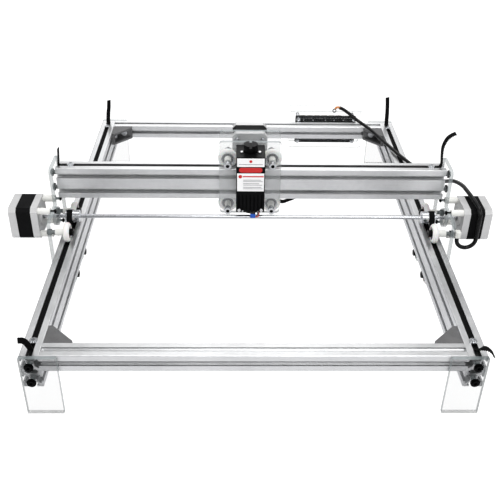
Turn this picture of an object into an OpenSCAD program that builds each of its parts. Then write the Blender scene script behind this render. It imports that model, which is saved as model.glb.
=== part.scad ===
/* [Frame] */
// Length of the two side rails, front to back
rail_len = 560; // [480:10:760]
// Width of the frame over the outside of the side rails
frame_w = 460; // [400:10:700]
// Height of the legs, which is the height of the frame's top
leg_h = 73; // [66:1:120]
// Width of a leg plate
leg_w = 37; // [34:1:60]
// Thickness of the clear plates of the legs, gantry and carriage
plate_t = 5; // [3:0.5:6]
// Length of each arm of the inner corner brackets
bracket_arm = 28; // [26:1:40]

/* [Extrusion] */
// Side of one cell of the aluminium extrusion
cell = 20; // [20:0.5:24]
// Width of a slot at the surface
slot_w = 6.2; // [6:0.1:6.4]
// Depth of a slot
slot_depth = 6.1; // [5.8:0.1:6.4]
// Radius of the bore along the middle of a cell
core_bore_r = 2.45; // [2.45:0.05:2.7]

/* [Gantry] */
// Distance from the frame's front to the middle of the gantry
gantry_y = 235; // [120:1:400]
// Height of the beam's underside above the frame's top
beam_lift = 36.2; // [34:0.2:60]
// How far the beam stands out past each side rail
beam_over = 4; // [3:0.5:10]
// Distance between the front and rear wheels of the gantry
y_wheel_gap = 50; // [48:1:60]
// Height of the Y motors' axis above the frame's top
y_motor_z = 18; // [17.6:0.1:19]
// Length of the spacers between a side plate and its motor
motor_spacer = 15; // [10:1:25]

/* [Carriage] */
// Distance from the machine's middle to the middle of the carriage
carriage_x = -2.3; // [-150:0.1:150]
// Width of the carriage plates
carriage_w = 73; // [72:1:100]
// Height of the carriage plates
carriage_h = 94.4; // [94:0.2:110]
// Distance between the left and right wheels of the carriage
x_wheel_gap = 53; // [52:1:64]
// Height of the X motor's axis above the beam's top
x_motor_z = 12.8; // [12.4:0.1:13.2]

/* [Wheels and drive] */
// Outer radius of the plastic wheels
wheel_r = 12; // [11.5:0.1:12.4]
// Width of the plastic wheels
wheel_w = 7; // [6.8:0.1:7.4]
// Outer radius of the wheel bearings
bearing_r = 8; // [7.5:0.1:8]
// Radius of the axle bolts
bolt_r = 2.5; // [2:0.1:2.6]
// Width of the drive belts
belt_w = 6; // [5:0.5:6]
// Thickness of the drive belts
belt_t = 1.4; // [1:0.1:1.6]
// Radius of the belt pulleys' toothed part
pulley_r = 6.1; // [6:0.1:6.3]
// Side of the square motors
motor_side = 42.3; // [42.3:0.1:43]
// Length of a motor's body
motor_len = 34; // [30:1:48]

/* [Laser] */
// Side of the square laser module
laser_side = 33; // [30:1:38]
// Height of the laser module, with its top cover
laser_h = 71; // [60:1:80]
// Radius of the laser's barrel
barrel_r = 6; // [5:0.1:6.5]

/* [Controller] */
// Width of the controller's clear plates
cover_w = 116; // [112:1:140]
// Height of the controller's clear plates
cover_h = 62; // [58:1:80]
// Width of the circuit board
board_w = 97; // [94:1:100]
// Height of the circuit board
board_h = 46; // [44:1:48]
// Distance from the machine's middle to the middle of the controller
controller_x = 125; // [110:1:130]

/* [Hidden] */
$fn = 48;

// Fits between pieces
hole_play = 0.15;       // a screw in a plain hole
turn_play = 0.05;       // a shaft or bearing that turns
roll_play = 0.2;        // a wheel over the edges of a slot
belt_play = 0.3;        // a belt beside a wheel or pulley
eps = 0.05;             // faces that only just clear

// Extrusion
lip = 1.8;              // thickness of the lips beside a slot
slot_in = 11;           // widest part of a slot
slot_core = 6;          // width of a slot's floor
edge_r = 1;             // rounding of the long edges

// Screws: radius of the shank, radius and height of the head
head_r = 4.75;
head_h = 2.75;
socket_r = 1.75;
socket_depth = 1.5;
shank_r = core_bore_r - turn_play;
small_r = 1.45;
small_head_r = 2.7;
small_head_h = 2;
nut_r = 4.5;
nut_h = 4;

// Frame
rail_x = frame_w / 2 - cell / 2;
rail_h = 2 * cell;
rail_z = leg_h - rail_h;
bar_len = frame_w - 2 * cell;
rear_y = rail_len - cell;
bracket_h = cell - 2;
bracket_t = 4;
web_t = 3;

// Belts on the side rails lie just under the wheels
rim_r = wheel_w / 2;
contact_h = wheel_r - rim_r + sqrt(pow(rim_r, 2) - pow(slot_w / 2, 2));
axle_h = contact_h + roll_play;
belt_top = axle_h - wheel_r - belt_play;
belt_mid = belt_top - belt_t / 2;
clamp_in = 22;
x_clamp_in = 17;
clamp_r = 4.2;
clamp_h = 2.4;

// Gantry
beam_len = frame_w + 2 * beam_over;
beam_bottom = leg_h + beam_lift;
beam_top = beam_bottom + rail_h;
beam_y = gantry_y + 22;
side_x = beam_len / 2;
y_axle_y = [gantry_y - y_wheel_gap / 2, gantry_y + y_wheel_gap / 2];
y_axle_z = [leg_h + axle_h, rail_z - axle_h];
side_plate_w = y_wheel_gap + 36;
side_plate_low = y_axle_z[1] - 12;
side_plate_mid = leg_h + y_motor_z + 16;
side_plate_top = beam_top + 5;
motor_z = leg_h + y_motor_z;
flange_x = side_x + plate_t + motor_spacer;
motor_hole = 15.5;
motor_hole_r = 11.4;
shaft_r = 2.5;
pulley_bore_r = shaft_r + turn_play;
pulley_flange_r = 8;
pulley_flange_t = 1;
pulley_teeth_w = belt_w + 1.2;
pulley_hub_l = 6.8;

// Wheels and bearings
bearing_w = 5;
bearing_bore_r = bolt_r + turn_play;
wheel_bore_r = bearing_r + turn_play;
spacer_r = 4;
y_head_l = 5;
y_head_r = 4.25;
head_hex_r = 2.3;
head_hex_depth = 3.5;
head_x = rail_x - bearing_w / 2;

// Motors
cap_front = 8;
cap_rear = 9;
motor_chamfer = 4.5;
motor_boss_r = 11;
motor_boss_h = 2;

// Carriage
carriage_gap = 12.5;
front_plate_y = beam_y - carriage_gap - plate_t;
rear_plate_y = beam_y + carriage_gap;
carriage_top = beam_top + 39;
carriage_low = carriage_top - carriage_h;
x_axle_x = [-x_wheel_gap / 2, x_wheel_gap / 2];
x_axle_z = [beam_top + axle_h, beam_bottom - axle_h];
x_shaft_z = beam_top + x_motor_z;
x_flange_y = rear_plate_y + plate_t;

// Laser module, hung on the front plate
laser_y = front_plate_y - laser_side;
laser_top = carriage_top - 3;
laser_low = laser_top - laser_h;
top_cover_t = 4;
gland_r = 8;
gland_h = 9;
label_t = 0.4;
label_w = laser_side - 2;
label_h = 42;
fin_gap = 1.8;
fin_depth = 6;
fin_pitch = 4.4;
barrel_h = 30;
laser_plug_h = 9;
ring_r = 7;
ring_h = 5;
barrel_out = 2;          // how far the barrel stands out under the laser
ring_play = 0.4;

// Controller, hung behind the rear crossbar
cover_t = 3;
board_t = 1.6;
board_gap = 6;
cover_gap = 12.4;
board_y = rail_len + cover_t + board_gap;
cover_y = board_y + board_t + cover_gap;
cover_z = leg_h + 17.6 - cover_h / 2;
board_hole = [board_w / 2 - 4.3, board_h / 2 - 4.3];
board_z = cover_z - 3;
jack_bore_r = 3.15;
jack_len = 12;
jack_z = board_z - 10;
button_r = 1.75;
button_travel = 0.25;
button_x = controller_x + 39;
button_z = board_z + 5;

// The origin is under the middle of the box that the machine fills
depth_front = plate_t + head_h;
depth_back = cover_y + cover_t + small_head_h;
mid_y = (depth_back - depth_front) / 2;

// Route of the gantry's cable: from the controller over the right rail,
// past the beam's end, over the motor and down to its plug
cable_r = 2.5;
cable_sides = 8;
cable_points = [
    [144, 556, 99], [149, 556, 97], [155, 556, 93], [162, 555, 88], [169, 552, 83],
    [177, 546, 79], [184, 534, 78], [191, 517, 78], [199, 495, 77], [208, 468, 77],
    [217, 441, 77], [227, 412, 78], [237, 382, 80], [246, 352, 85], [254, 322, 95],
    [260, 296, 109], [264, 272, 116], [266, 252, 117.5], [268, 234, 117.5], [269, 221, 116.8],
    [270, 214, 115.9], [270.5, 210.4, 113.4], [271, 208, 109.4], [271, 207, 103], [271, 207, 93],
    [271, 207, 84], [271, 207, 77], [269.4, 207, 71.2], [265.2, 207, 67], [259.4, 207, 65.4],
    [253.6, 207, 67], [249.4, 207, 71.2], [247.8, 207, 77], [247.8, 207, 80]
];

module in_place() translate([0, -mid_y, 0]) children();
module mirror_x() { children(); mirror([1, 0, 0]) children(); }
module along_y(length) translate([0, length, 0]) rotate([90, 0, 0]) linear_extrude(length) children();
module along_x(length) rotate([90, 0, 90]) linear_extrude(length) children();
module on_carriage() in_place() translate([carriage_x, 0, 0]) children();

module rounded_2d(size, r) {
    square([size[0] - 2 * r, size[1]], center = true);
    square([size[0], size[1] - 2 * r], center = true);
    for (sx = [-1, 1], sy = [-1, 1])
        translate([sx * (size[0] / 2 - r), sy * (size[1] / 2 - r)]) circle(r);
}

// A slot that opens upwards at y = 0
module slot_2d() {
    polygon([
        [-slot_w / 2, 1], [slot_w / 2, 1], [slot_w / 2, -lip], [slot_in / 2, -lip],
        [slot_in / 2, -lip - 1], [slot_core / 2, -slot_depth], [-slot_core / 2, -slot_depth],
        [-slot_in / 2, -lip - 1], [-slot_in / 2, -lip], [-slot_w / 2, -lip]
    ]);
}

// An extrusion of one or two cells, with its top at y = 0
module extrusion_2d(cells) {
    height = cells * cell;
    difference() {
        translate([0, -height / 2]) rounded_2d([cell, height], edge_r);
        slot_2d();
        translate([0, -height]) mirror([0, 1]) slot_2d();
        for (i = [0:cells - 1]) translate([0, -cell / 2 - i * cell]) {
            circle(core_bore_r);
            for (turn = [-90, 90]) rotate(turn) translate([0, cell / 2]) slot_2d();
        }
        if (cells > 1) for (i = [1:cells - 1]) translate([0, -i * cell])
            polygon([[-7, 0], [-4.5, 2.5], [4.5, 2.5], [7, 0], [4.5, -2.5], [-4.5, -2.5]]);
    }
}

// A button-head screw along +Z, with its head's underside at z = 0
module screw(length, r, big_r, head) {
    difference() {
        union() {
            cylinder(r = big_r * 0.72, h = head);
            cylinder(r = big_r, h = head * 0.6);
            translate([0, 0, -length]) cylinder(r = r, h = length);
        }
        translate([0, 0, head - socket_depth * r / 2.4])
            cylinder(r = socket_r * r / 2.4, h = head, $fn = 6);
    }
}

// A flat strip swept along points, each with the direction of its width
function unit(v) = v / norm(v);
function along(p, i) = unit(p[min(i + 1, len(p) - 1)] - p[max(i - 1, 0)]);
function strip_ring(p, w, i) =
    let (side = unit(w - (w * along(p, i)) * along(p, i)),
         up = cross(along(p, i), side))
    [for (c = [[-1, -1], [1, -1], [1, 1], [-1, 1]])
        p[i] + side * c[0] * belt_w / 2 + up * c[1] * belt_t / 2];
module swept(rings) {
    n = len(rings[0]);
    last = len(rings) - 1;
    polyhedron(
        points = [for (ring = rings) for (q = ring) q],
        faces = concat(
            [[for (j = [n - 1:-1:0]) j]],
            [for (i = [0:last - 1]) for (j = [0:n - 1]) for (half = [0, 1])
                half == 0 ? [i * n + j, i * n + (j + 1) % n, (i + 1) * n + j]
                          : [i * n + (j + 1) % n, (i + 1) * n + (j + 1) % n, (i + 1) * n + j]],
            [[for (j = [0:n - 1]) last * n + j]]
        ), convexity = 6);
}
module strip(path) {
    p = [for (q = path) q[0]];
    swept([for (i = [0:len(p) - 1]) strip_ring(p, path[i][1], i)]);
}
module left_rail() color([0.80, 0.81, 0.82]) in_place()
    translate([-rail_x, 0, leg_h]) along_y(rail_len) extrusion_2d(2);
module right_rail() color([0.80, 0.81, 0.82]) in_place()
    translate([rail_x, 0, leg_h]) along_y(rail_len) extrusion_2d(2);

module crossbar(y) in_place()
    translate([-bar_len / 2, y + cell / 2, leg_h]) along_x(bar_len) extrusion_2d(1);
module front_crossbar() color([0.82, 0.83, 0.84]) crossbar(0);
module rear_crossbar() color([0.82, 0.83, 0.84]) crossbar(rear_y);

// The corner bracket, its corner at the origin and its arms along +X and +Y
bracket_hole = 16;
module bracket() difference() {
    union() {
        cube([bracket_arm, bracket_t, bracket_h]);
        cube([bracket_t, bracket_arm, bracket_h]);
        for (z = [0, bracket_h - web_t]) translate([0, 0, z]) linear_extrude(web_t)
            polygon([[0, 0], [bracket_arm, 0], [bracket_arm, bracket_t],
                     [bracket_t, bracket_arm], [0, bracket_arm]]);
    }
    translate([bracket_hole, -1, bracket_h / 2]) rotate([-90, 0, 0])
        cylinder(r = shank_r + hole_play, h = bracket_t + 2);
    translate([-1, bracket_hole, bracket_h / 2]) rotate([0, 90, 0])
        cylinder(r = shank_r + hole_play, h = bracket_t + 2);
}
// Puts a child in each of the four inner corners of the frame
module in_corners() in_place() mirror_x() for (front = [0, 1])
    translate([-bar_len / 2, front == 1 ? cell : rear_y, leg_h - cell / 2])
        mirror([0, 1 - front, 0]) children();
module corner_brackets() color([0.55, 0.56, 0.57]) in_corners()
    translate([0, 0, -bracket_h / 2]) bracket();

// A bracket's screw with its slot nut, pointing down from z = 0
module slot_screw() {
    screw(bracket_t + slot_depth - 1, shank_r, 4.4, head_h);
    translate([0, 0, -bracket_t - lip - eps - 1.5]) cube([9, 5.4, 3], center = true);
}
module leg_screw() screw(plate_t + 14, shank_r, head_r, head_h);
module at_leg_screws() for (z = [cell / 2, cell * 3 / 2])
    translate([rail_x, 0, leg_h - z]) children();
module frame_screws() color([0.10, 0.10, 0.11]) {
    in_corners() {
        translate([bracket_hole, bracket_t, 0]) rotate([-90, 0, 0]) slot_screw();
        translate([bracket_t, bracket_hole, 0]) rotate([0, 90, 0]) rotate(90) slot_screw();
    }
    in_place() mirror_x() at_leg_screws() {
        translate([0, -plate_t, 0]) rotate([90, 0, 0]) leg_screw();
        translate([0, rail_len + plate_t, 0]) rotate([-90, 0, 0]) leg_screw();
    }
}

module leg_row(y) in_place() mirror_x() difference() {
    translate([frame_w / 2 - leg_w, y, 0]) cube([leg_w, plate_t, leg_h]);
    at_leg_screws() translate([0, y - 1, 0]) rotate([-90, 0, 0])
        cylinder(r = shank_r + hole_play, h = plate_t + 2);
}
module front_legs() color([0.86, 0.92, 0.94, 0.35]) leg_row(-plate_t);
module rear_legs() color([0.86, 0.92, 0.94, 0.35]) leg_row(rail_len);

// The belt in a side rail's slot, its free ends standing up out of the slot
belt_line = leg_h + belt_mid;
wide_x = [1, 0, 0];
wide_y = [0, 1, 0];
module rail_belt(front, back) color([0.07, 0.07, 0.075]) in_place()
    strip(concat(front,
        [[[front[0][0][0] > 0 ? rail_x : -rail_x, 15, belt_line], wide_x],
         [[front[0][0][0] > 0 ? rail_x : -rail_x, rail_len - 15, belt_line], wide_x]], back));
module left_y_belt() rail_belt(
    [[[-rail_x - 7.5, 0, leg_h + 19.5], [0.5, 0.8, 0]], [[-rail_x - 3.5, 2, leg_h + 17.5], [0.7, 0.6, 0]],
     [[-rail_x - 1, 4.5, leg_h + 12], [0.9, 0.3, 0]], [[-rail_x - 0.2, 7, leg_h + 5.5], wide_x],
     [[-rail_x, 10, leg_h], wide_x]],
    [[[-rail_x, rail_len - 9, leg_h], wide_x], [[-rail_x, rail_len - 6, leg_h + 7], wide_x],
     [[-rail_x + 0.5, rail_len - 4, leg_h + 15], [0.9, 0.4, 0]],
     [[-rail_x + 2, rail_len - 4, leg_h + 25], [0.8, 0.6, 0]],
     [[-rail_x + 3, rail_len - 4, leg_h + 36], [0.7, 0.7, 0]]]);
module right_y_belt() rail_belt(
    [[[rail_x + 18, -3, leg_h + 2], wide_y], [[rail_x + 15, -2, leg_h + 7.5], wide_y],
     [[rail_x + 9, 0, leg_h + 10], wide_y], [[rail_x + 4, 2, leg_h + 9], [0.3, 0.9, 0]],
     [[rail_x + 1, 5, leg_h + 5], [0.8, 0.5, 0]], [[rail_x, 10, leg_h], wide_x]],
    [[[rail_x, rail_len - 9, leg_h], wide_x], [[rail_x, rail_len - 6, leg_h + 7], wide_x],
     [[rail_x, rail_len - 4, leg_h + 16], [1, 0.2, 0]],
     [[rail_x - 1, rail_len - 4, leg_h + 30], [0.95, 0.3, 0]],
     [[rail_x - 2.5, rail_len - 4, leg_h + 44], [0.95, 0.3, 0]]]);

// Screws that hold the belts' ends down, on the rails and on the beam
clamp_depth = -belt_top - eps;
module clamp_screw() screw(clamp_depth, 2.4, clamp_r, clamp_h);
module belt_clamp_screws() color([0.72, 0.73, 0.75]) in_place() mirror_x()
    for (y = [clamp_in, rail_len - clamp_in])
        translate([rail_x, y, leg_h]) clamp_screw();

// Controller
plate_bolt_x = cover_w / 2 - 8;
module controller_plate(y, open) difference() {
    translate([controller_x, y + cover_t, cover_z]) rotate([90, 0, 0])
        linear_extrude(cover_t) rounded_2d([cover_w, cover_h], 3);
    at_board_holes() translate([0, y - 1, 0]) rotate([-90, 0, 0])
        cylinder(r = small_r + hole_play, h = cover_t + 2);
    if (open) translate([button_x, y - 1, button_z]) rotate([-90, 0, 0])
        cylinder(r = button_r + 0.6, h = cover_t + 2);
    else for (side = [-1, 1])
        translate([controller_x + side * plate_bolt_x, y - 1, leg_h - cell / 2])
            rotate([-90, 0, 0]) cylinder(r = shank_r + hole_play, h = cover_t + 2);
}
module at_board_holes() for (sx = [-1, 1], sz = [-1, 1])
    translate([controller_x + sx * board_hole[0], 0, board_z + sz * board_hole[1]]) children();
module controller_back_plate() color([0.86, 0.92, 0.94, 0.35]) in_place()
    controller_plate(rail_len, false);
module controller_cover() color([0.86, 0.92, 0.94, 0.35]) in_place()
    controller_plate(cover_y, true);

module controller_board() color([0.05, 0.05, 0.06]) in_place() difference() {
    translate([controller_x, board_y + board_t, board_z]) rotate([90, 0, 0])
        linear_extrude(board_t) rounded_2d([board_w, board_h], 2);
    at_board_holes() translate([0, board_y - 1, 0]) rotate([-90, 0, 0])
        cylinder(r = small_r + hole_play, h = board_t + 2);
}

// A box on the board's rear face, its middle at x, z from the board's middle
board_face = board_y + board_t + 0.02;
module on_board(x, z, size) translate([controller_x + x - size[0] / 2, board_face,
    board_z + z - size[2] / 2]) cube(size);
driver_x = [-24, -2];
module board_components() color([0.12, 0.12, 0.13]) in_place() {
    for (x = driver_x) {
        for (side = [-8, 8]) on_board(x + side, -6, [2.5, 8.5, 20]);
        translate([0, 8.55, 0]) on_board(x, -6, [18.5, 1.4, 20]);
    }
    on_board(14, -4, [10, 2.4, 10]);
    on_board(30, 4, [6, 2, 8]);
    for (i = [0:5]) on_board(-36 + i * 11.5, 18.5, [9, 8.5, 2.5]);
    for (i = [0:2]) on_board(-24 + i * 16, 11, [9, 6, 5.6]);
    for (x = [23, 33]) translate([controller_x + x, board_face, board_z - 15])
        rotate([-90, 0, 0]) cylinder(r = 3.2, h = 8);
}
module usb_port() color([0.74, 0.75, 0.77]) in_place() difference() {
    on_board(-board_w / 2 + 5.5, 2, [14, 11, 12]);
    translate([-4, 1.5, 0]) on_board(-board_w / 2 + 5.5, 2, [14, 8, 9]);
}
module power_jack() color([0.06, 0.06, 0.07]) in_place() difference() {
    on_board(board_w / 2 - 4, jack_z - board_z, [jack_len + 2, 11, 9]);
    translate([controller_x + board_w / 2 + 3 - jack_len + 1, board_face + 5.5, jack_z])
        rotate([0, 90, 0]) cylinder(r = jack_bore_r, h = jack_len);
}
module reset_button() color([0.85, 0.12, 0.10]) in_place()
    translate([button_x, board_face + button_travel, button_z]) rotate([-90, 0, 0]) {
        cylinder(r = button_r, h = cover_gap + cover_t + 1.4);
        cylinder(r = 3, h = 4);
    }
// Spacers and screws that stack the plates and the board
module board_fasteners() color([0.78, 0.79, 0.80]) in_place() {
    at_board_holes() {
        translate([0, cover_y + cover_t, 0]) rotate([-90, 0, 0])
            screw(cover_y + cover_t - rail_len - 0.4, small_r, small_head_r, small_head_h);
        for (gap = [[rail_len + cover_t, board_gap], [board_y + board_t, cover_gap]])
            translate([0, gap[0], 0]) rotate([-90, 0, 0]) difference() {
                cylinder(r = 2.9, h = gap[1]);
                translate([0, 0, -1]) cylinder(r = small_r + turn_play, h = gap[1] + 2);
            }
    }
    for (side = [-1, 1]) translate([controller_x + side * plate_bolt_x, rail_len + cover_t,
        leg_h - cell / 2]) rotate([-90, 0, 0]) {
            screw(cover_t + slot_depth - 1, shank_r, 4.4, head_h);
            translate([0, 0, -cover_t - lip - eps - 1.5]) cube([9, 5.4, 3], center = true);
        }
}
// Gantry beam
module cross_beam() color([0.80, 0.81, 0.82]) in_place()
    translate([-beam_len / 2, beam_y, beam_top]) along_x(beam_len) extrusion_2d(2);

// Side plate: a wide lower part for the wheels and motor, a narrow upper part for the beam
beam_screw_z = [beam_top - cell / 2, beam_top - cell * 3 / 2];
module side_plate_2d() difference() {
    union() {
        translate([gantry_y, (side_plate_low + side_plate_mid) / 2])
            rounded_2d([side_plate_w, side_plate_mid - side_plate_low], 8);
        translate([beam_y - 2, (side_plate_mid - 20 + side_plate_top) / 2])
            rounded_2d([cell + 22, side_plate_top - side_plate_mid + 20], 6);
    }
    for (y = y_axle_y, z = y_axle_z) translate([y, z]) circle(bolt_r + hole_play);
    translate([gantry_y, motor_z]) {
        circle(motor_hole_r);
        for (sy = [-1, 1], sz = [-1, 1])
            translate([sy * motor_hole, sz * motor_hole]) circle(small_r + hole_play);
    }
    for (z = beam_screw_z) translate([beam_y, z]) circle(shank_r + hole_play);
}
module side_plate() translate([side_x, 0, 0]) along_x(plate_t) side_plate_2d();
module right_side_plate() color([0.86, 0.92, 0.94, 0.35]) in_place() side_plate();
module left_side_plate() color([0.86, 0.92, 0.94, 0.35]) in_place()
    mirror([1, 0, 0]) side_plate();

// Beam screws, motor screws and the screws that hold the X belt's ends
module plate_screws() color([0.12, 0.12, 0.13]) in_place() mirror_x() {
    for (z = beam_screw_z) translate([side_x + plate_t, beam_y, z]) rotate([0, 90, 0])
        screw(plate_t + 14, shank_r, head_r, head_h);
    for (sy = [-1, 1], sz = [-1, 1])
        translate([side_x, gantry_y + sy * motor_hole, motor_z + sz * motor_hole])
            rotate([0, -90, 0])
                screw(plate_t + motor_spacer + 5, small_r, small_head_r, small_head_h);
    translate([side_x - x_clamp_in, beam_y, beam_top]) clamp_screw();
}

// Square motor along +Z, its flange at z = 0
module motor_2d() {
    s = motor_side / 2;
    c = s - motor_chamfer;
    polygon([[-s, -c], [-c, -s], [c, -s], [s, -c], [s, c], [c, s], [-c, s], [-s, c]]);
}
module motor_caps() {
    difference() {
        union() {
            linear_extrude(cap_front) motor_2d();
            translate([0, 0, -motor_boss_h]) cylinder(r = motor_boss_r, h = motor_boss_h + 1);
        }
        translate([0, 0, -motor_boss_h - 1]) cylinder(r = 4.5, h = motor_boss_h + cap_front + 2);
        for (sx = [-1, 1], sy = [-1, 1]) translate([sx * motor_hole, sy * motor_hole, -1])
            cylinder(r = small_r + turn_play, h = cap_front + 2);
    }
    translate([0, 0, motor_len - cap_rear]) difference() {
        linear_extrude(cap_rear) motor_2d();
        for (sx = [-1, 1], sy = [-1, 1])
            translate([sx * motor_hole, sy * motor_hole, cap_rear - 2]) cylinder(r = 2.6, h = 3);
    }
}
stator_len = motor_len - cap_front - cap_rear;
module motor_stator() translate([0, 0, cap_front]) difference() {
    linear_extrude(stator_len) intersection() {
        motor_2d();
        square(motor_side - 0.6, center = true);
    }
    translate([0, 0, -1]) cylinder(r = 4.5, h = 7);
}
module at_y_motors() in_place() mirror_x()
    translate([flange_x, gantry_y, motor_z]) rotate([0, 90, 0]) children();
module y_motor_caps() color([0.70, 0.71, 0.72]) at_y_motors() motor_caps();
module y_motor_stators() color([0.08, 0.08, 0.09]) at_y_motors() motor_stator();

module tube(outer, inner, length) difference() {
    cylinder(r = outer, h = length);
    translate([0, 0, -1]) cylinder(r = inner, h = length + 2);
}
module motor_spacers() color([0.95, 0.95, 0.94]) in_place() mirror_x()
    for (sy = [-1, 1], sz = [-1, 1])
        translate([side_x + plate_t, gantry_y + sy * motor_hole, motor_z + sz * motor_hole])
            rotate([0, 90, 0]) tube(spacer_r, small_r + turn_play, motor_spacer);

// Wheel axles of the gantry: bolt heads inside, nuts outside the side plates
module at_y_axles(x) in_place() mirror_x()
    for (y = y_axle_y, z = y_axle_z) translate([x, y, z]) rotate([0, 90, 0]) children();
y_bolt_l = side_x + plate_t - head_x;
module y_axle_bolts() color([0.10, 0.10, 0.11]) at_y_axles(head_x) {
    difference() {
        translate([0, 0, -y_head_l]) cylinder(r = y_head_r, h = y_head_l);
        translate([0, 0, -y_head_l - 1]) cylinder(r = head_hex_r, h = head_hex_depth + 1, $fn = 6);
    }
    cylinder(r = bolt_r, h = y_bolt_l + nut_h + 1);
    translate([0, 0, y_bolt_l]) cylinder(r = nut_r, h = nut_h, $fn = 6);
}
y_spacer_l = side_x - rail_x - bearing_w / 2;
module y_axle_spacers() color([0.93, 0.93, 0.92]) at_y_axles(rail_x + bearing_w / 2)
    tube(spacer_r, bolt_r + turn_play, y_spacer_l);
module y_wheel_bearings() color([0.75, 0.76, 0.78]) at_y_axles(head_x)
    tube(bearing_r, bearing_bore_r, bearing_w);

// Round-rimmed wheel about Z, its middle at z = 0
module wheel() rotate_extrude() difference() {
    union() {
        translate([wheel_r - rim_r, 0]) circle(rim_r);
        translate([wheel_bore_r, -wheel_w / 2]) square([wheel_r - rim_r - wheel_bore_r, wheel_w]);
    }
    translate([0, -wheel_w]) square([wheel_bore_r, 2 * wheel_w]);
}
module y_wheel_pair(y, z) color([0.95, 0.95, 0.94]) in_place() mirror_x()
    translate([rail_x, y, z]) rotate([0, 90, 0]) wheel();
module front_upper_y_wheels() y_wheel_pair(y_axle_y[0], y_axle_z[0]);
module rear_upper_y_wheels() y_wheel_pair(y_axle_y[1], y_axle_z[0]);
module front_lower_y_wheels() y_wheel_pair(y_axle_y[0], y_axle_z[1]);
module rear_lower_y_wheels() y_wheel_pair(y_axle_y[1], y_axle_z[1]);

// Pulley about Z, its toothed part's middle at z = 0 and its hub towards +Z
pulley_half = pulley_teeth_w / 2;
pulley_end = pulley_half + pulley_flange_t + pulley_hub_l;
tooth_count = 20;
module pulley() difference() {
    union() {
        difference() {
            translate([0, 0, -pulley_half]) cylinder(r = pulley_r, h = pulley_teeth_w);
            for (i = [0:tooth_count - 1]) rotate(i * 360 / tooth_count)
                translate([pulley_r + 0.15, 0, -pulley_half - 1])
                    cylinder(r = 0.6, h = pulley_teeth_w + 2, $fn = 24);
        }
        for (z = [-pulley_half - pulley_flange_t, pulley_half])
            translate([0, 0, z]) cylinder(r = pulley_flange_r, h = pulley_flange_t);
        translate([0, 0, pulley_half]) cylinder(r = pulley_flange_r - 0.5,
            h = pulley_flange_t + pulley_hub_l);
    }
    translate([0, 0, -pulley_half - 2]) cylinder(r = pulley_bore_r, h = pulley_end + pulley_half + 3);
    translate([0, 0, pulley_half + pulley_flange_t + pulley_hub_l / 2]) rotate([90, 0, 0])
        cylinder(r = 1.5, h = pulley_flange_r);
}
module y_pulleys() color([0.80, 0.80, 0.81]) in_place() mirror_x()
    translate([rail_x, gantry_y, motor_z]) rotate([0, -90, 0]) pulley();

// The rod that joins the two sides, and the motors' own shafts, meeting inside the pulleys
rod_end = rail_x - 1;
module y_drive_shafts() color([0.78, 0.79, 0.80]) in_place() {
    translate([-rod_end, gantry_y, motor_z]) rotate([0, 90, 0])
        cylinder(r = shaft_r, h = 2 * rod_end);
    mirror_x() translate([rod_end + 0.5, gantry_y, motor_z]) rotate([0, 90, 0])
        cylinder(r = shaft_r, h = flange_x + cap_front - rod_end - 1);
}

// Belt that dips under two wheels and over a pulley, drawn on its own plane:
// gap is the distance between the wheels, rise is the pulley's height over them
wheel_path_r = wheel_r + belt_play + belt_t / 2;
pulley_path_r = pulley_r + belt_play + belt_t / 2;
loop_low = belt_top - axle_h + eps;
function arc(x, y, r, a, b, n = 12) =
    [for (i = [0:n]) [x + r * cos(a + (b - a) * i / n), y + r * sin(a + (b - a) * i / n)]];
// One side of the belt, off to one side of its middle line by s
function loop_side(gap, rise, s) =
    let (lean = atan2(rise, gap / 2),
         turn = acos((wheel_path_r + pulley_path_r) / norm([gap / 2, rise])),
         r = wheel_path_r - s, start = asin(loop_low / r))
    concat(arc(-gap / 2, 0, r, start, lean - turn),
           arc(0, rise, pulley_path_r + s, 180 + lean - turn, turn - lean),
           arc(gap / 2, 0, r, 180 - lean + turn, 180 - start));
function reversed(list) = [for (i = [len(list) - 1:-1:0]) list[i]];
module belt_loop_2d(gap, rise) polygon(concat(loop_side(gap, rise, belt_t / 2),
    reversed(loop_side(gap, rise, -belt_t / 2))));
module y_belt_loops() color([0.07, 0.07, 0.075]) in_place() mirror_x()
    translate([rail_x - belt_w / 2, gantry_y, y_axle_z[0]]) along_x(belt_w)
        belt_loop_2d(y_wheel_gap, y_motor_z - axle_h);

// The X belt in the beam's top slot, its free ends standing up past the clamps
module x_belt() color([0.07, 0.07, 0.075]) in_place() strip([
    for (p = [
        [-beam_len / 2 + 4.5, 22], [-beam_len / 2 + 3.5, 10], [-beam_len / 2 + 2.5, 3],
        [-beam_len / 2 + 3, -1], [-beam_len / 2 + 6, belt_mid], [beam_len / 2 - 10, belt_mid],
        [beam_len / 2 - 7, -1], [beam_len / 2 - 5, 4], [beam_len / 2 - 6, 14],
        [beam_len / 2 - 6.5, 26], [beam_len / 2 - 3.5, 36], [beam_len / 2 + 1, 41],
        [beam_len / 2 + 6.5, 44]
    ]) [[p[0], beam_y, beam_top + p[1]], wide_y]
]);

// Cable, and the plug that it ends in beside the right motor
function cable_ring(i) =
    let (t = along(cable_points, i), u = unit(cross(t, [0.31, 0.11, 1])), v = cross(t, u))
    [for (j = [0:cable_sides - 1])
        cable_points[i] + cable_r * (cos(j * 360 / cable_sides) * u + sin(j * 360 / cable_sides) * v)];
module gantry_cable() color([0.05, 0.05, 0.055]) in_place()
    swept([for (i = [0:len(cable_points) - 1]) cable_ring(i)]);
cable_end = cable_points[len(cable_points) - 1];
plug_size = [6, 7, 8];
plug_rib = [2, 1.2, 6];
module motor_plug() color([0.93, 0.93, 0.90]) in_place()
    translate([cable_end[0], cable_end[1] - plug_size[1] / 2, cable_end[2] + 0.5]) {
        translate([-plug_size[0] / 2, 0, 0]) cube(plug_size);
        translate([-plug_rib[0] / 2, -plug_rib[1] + eps, 1]) cube(plug_rib);
    }

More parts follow.
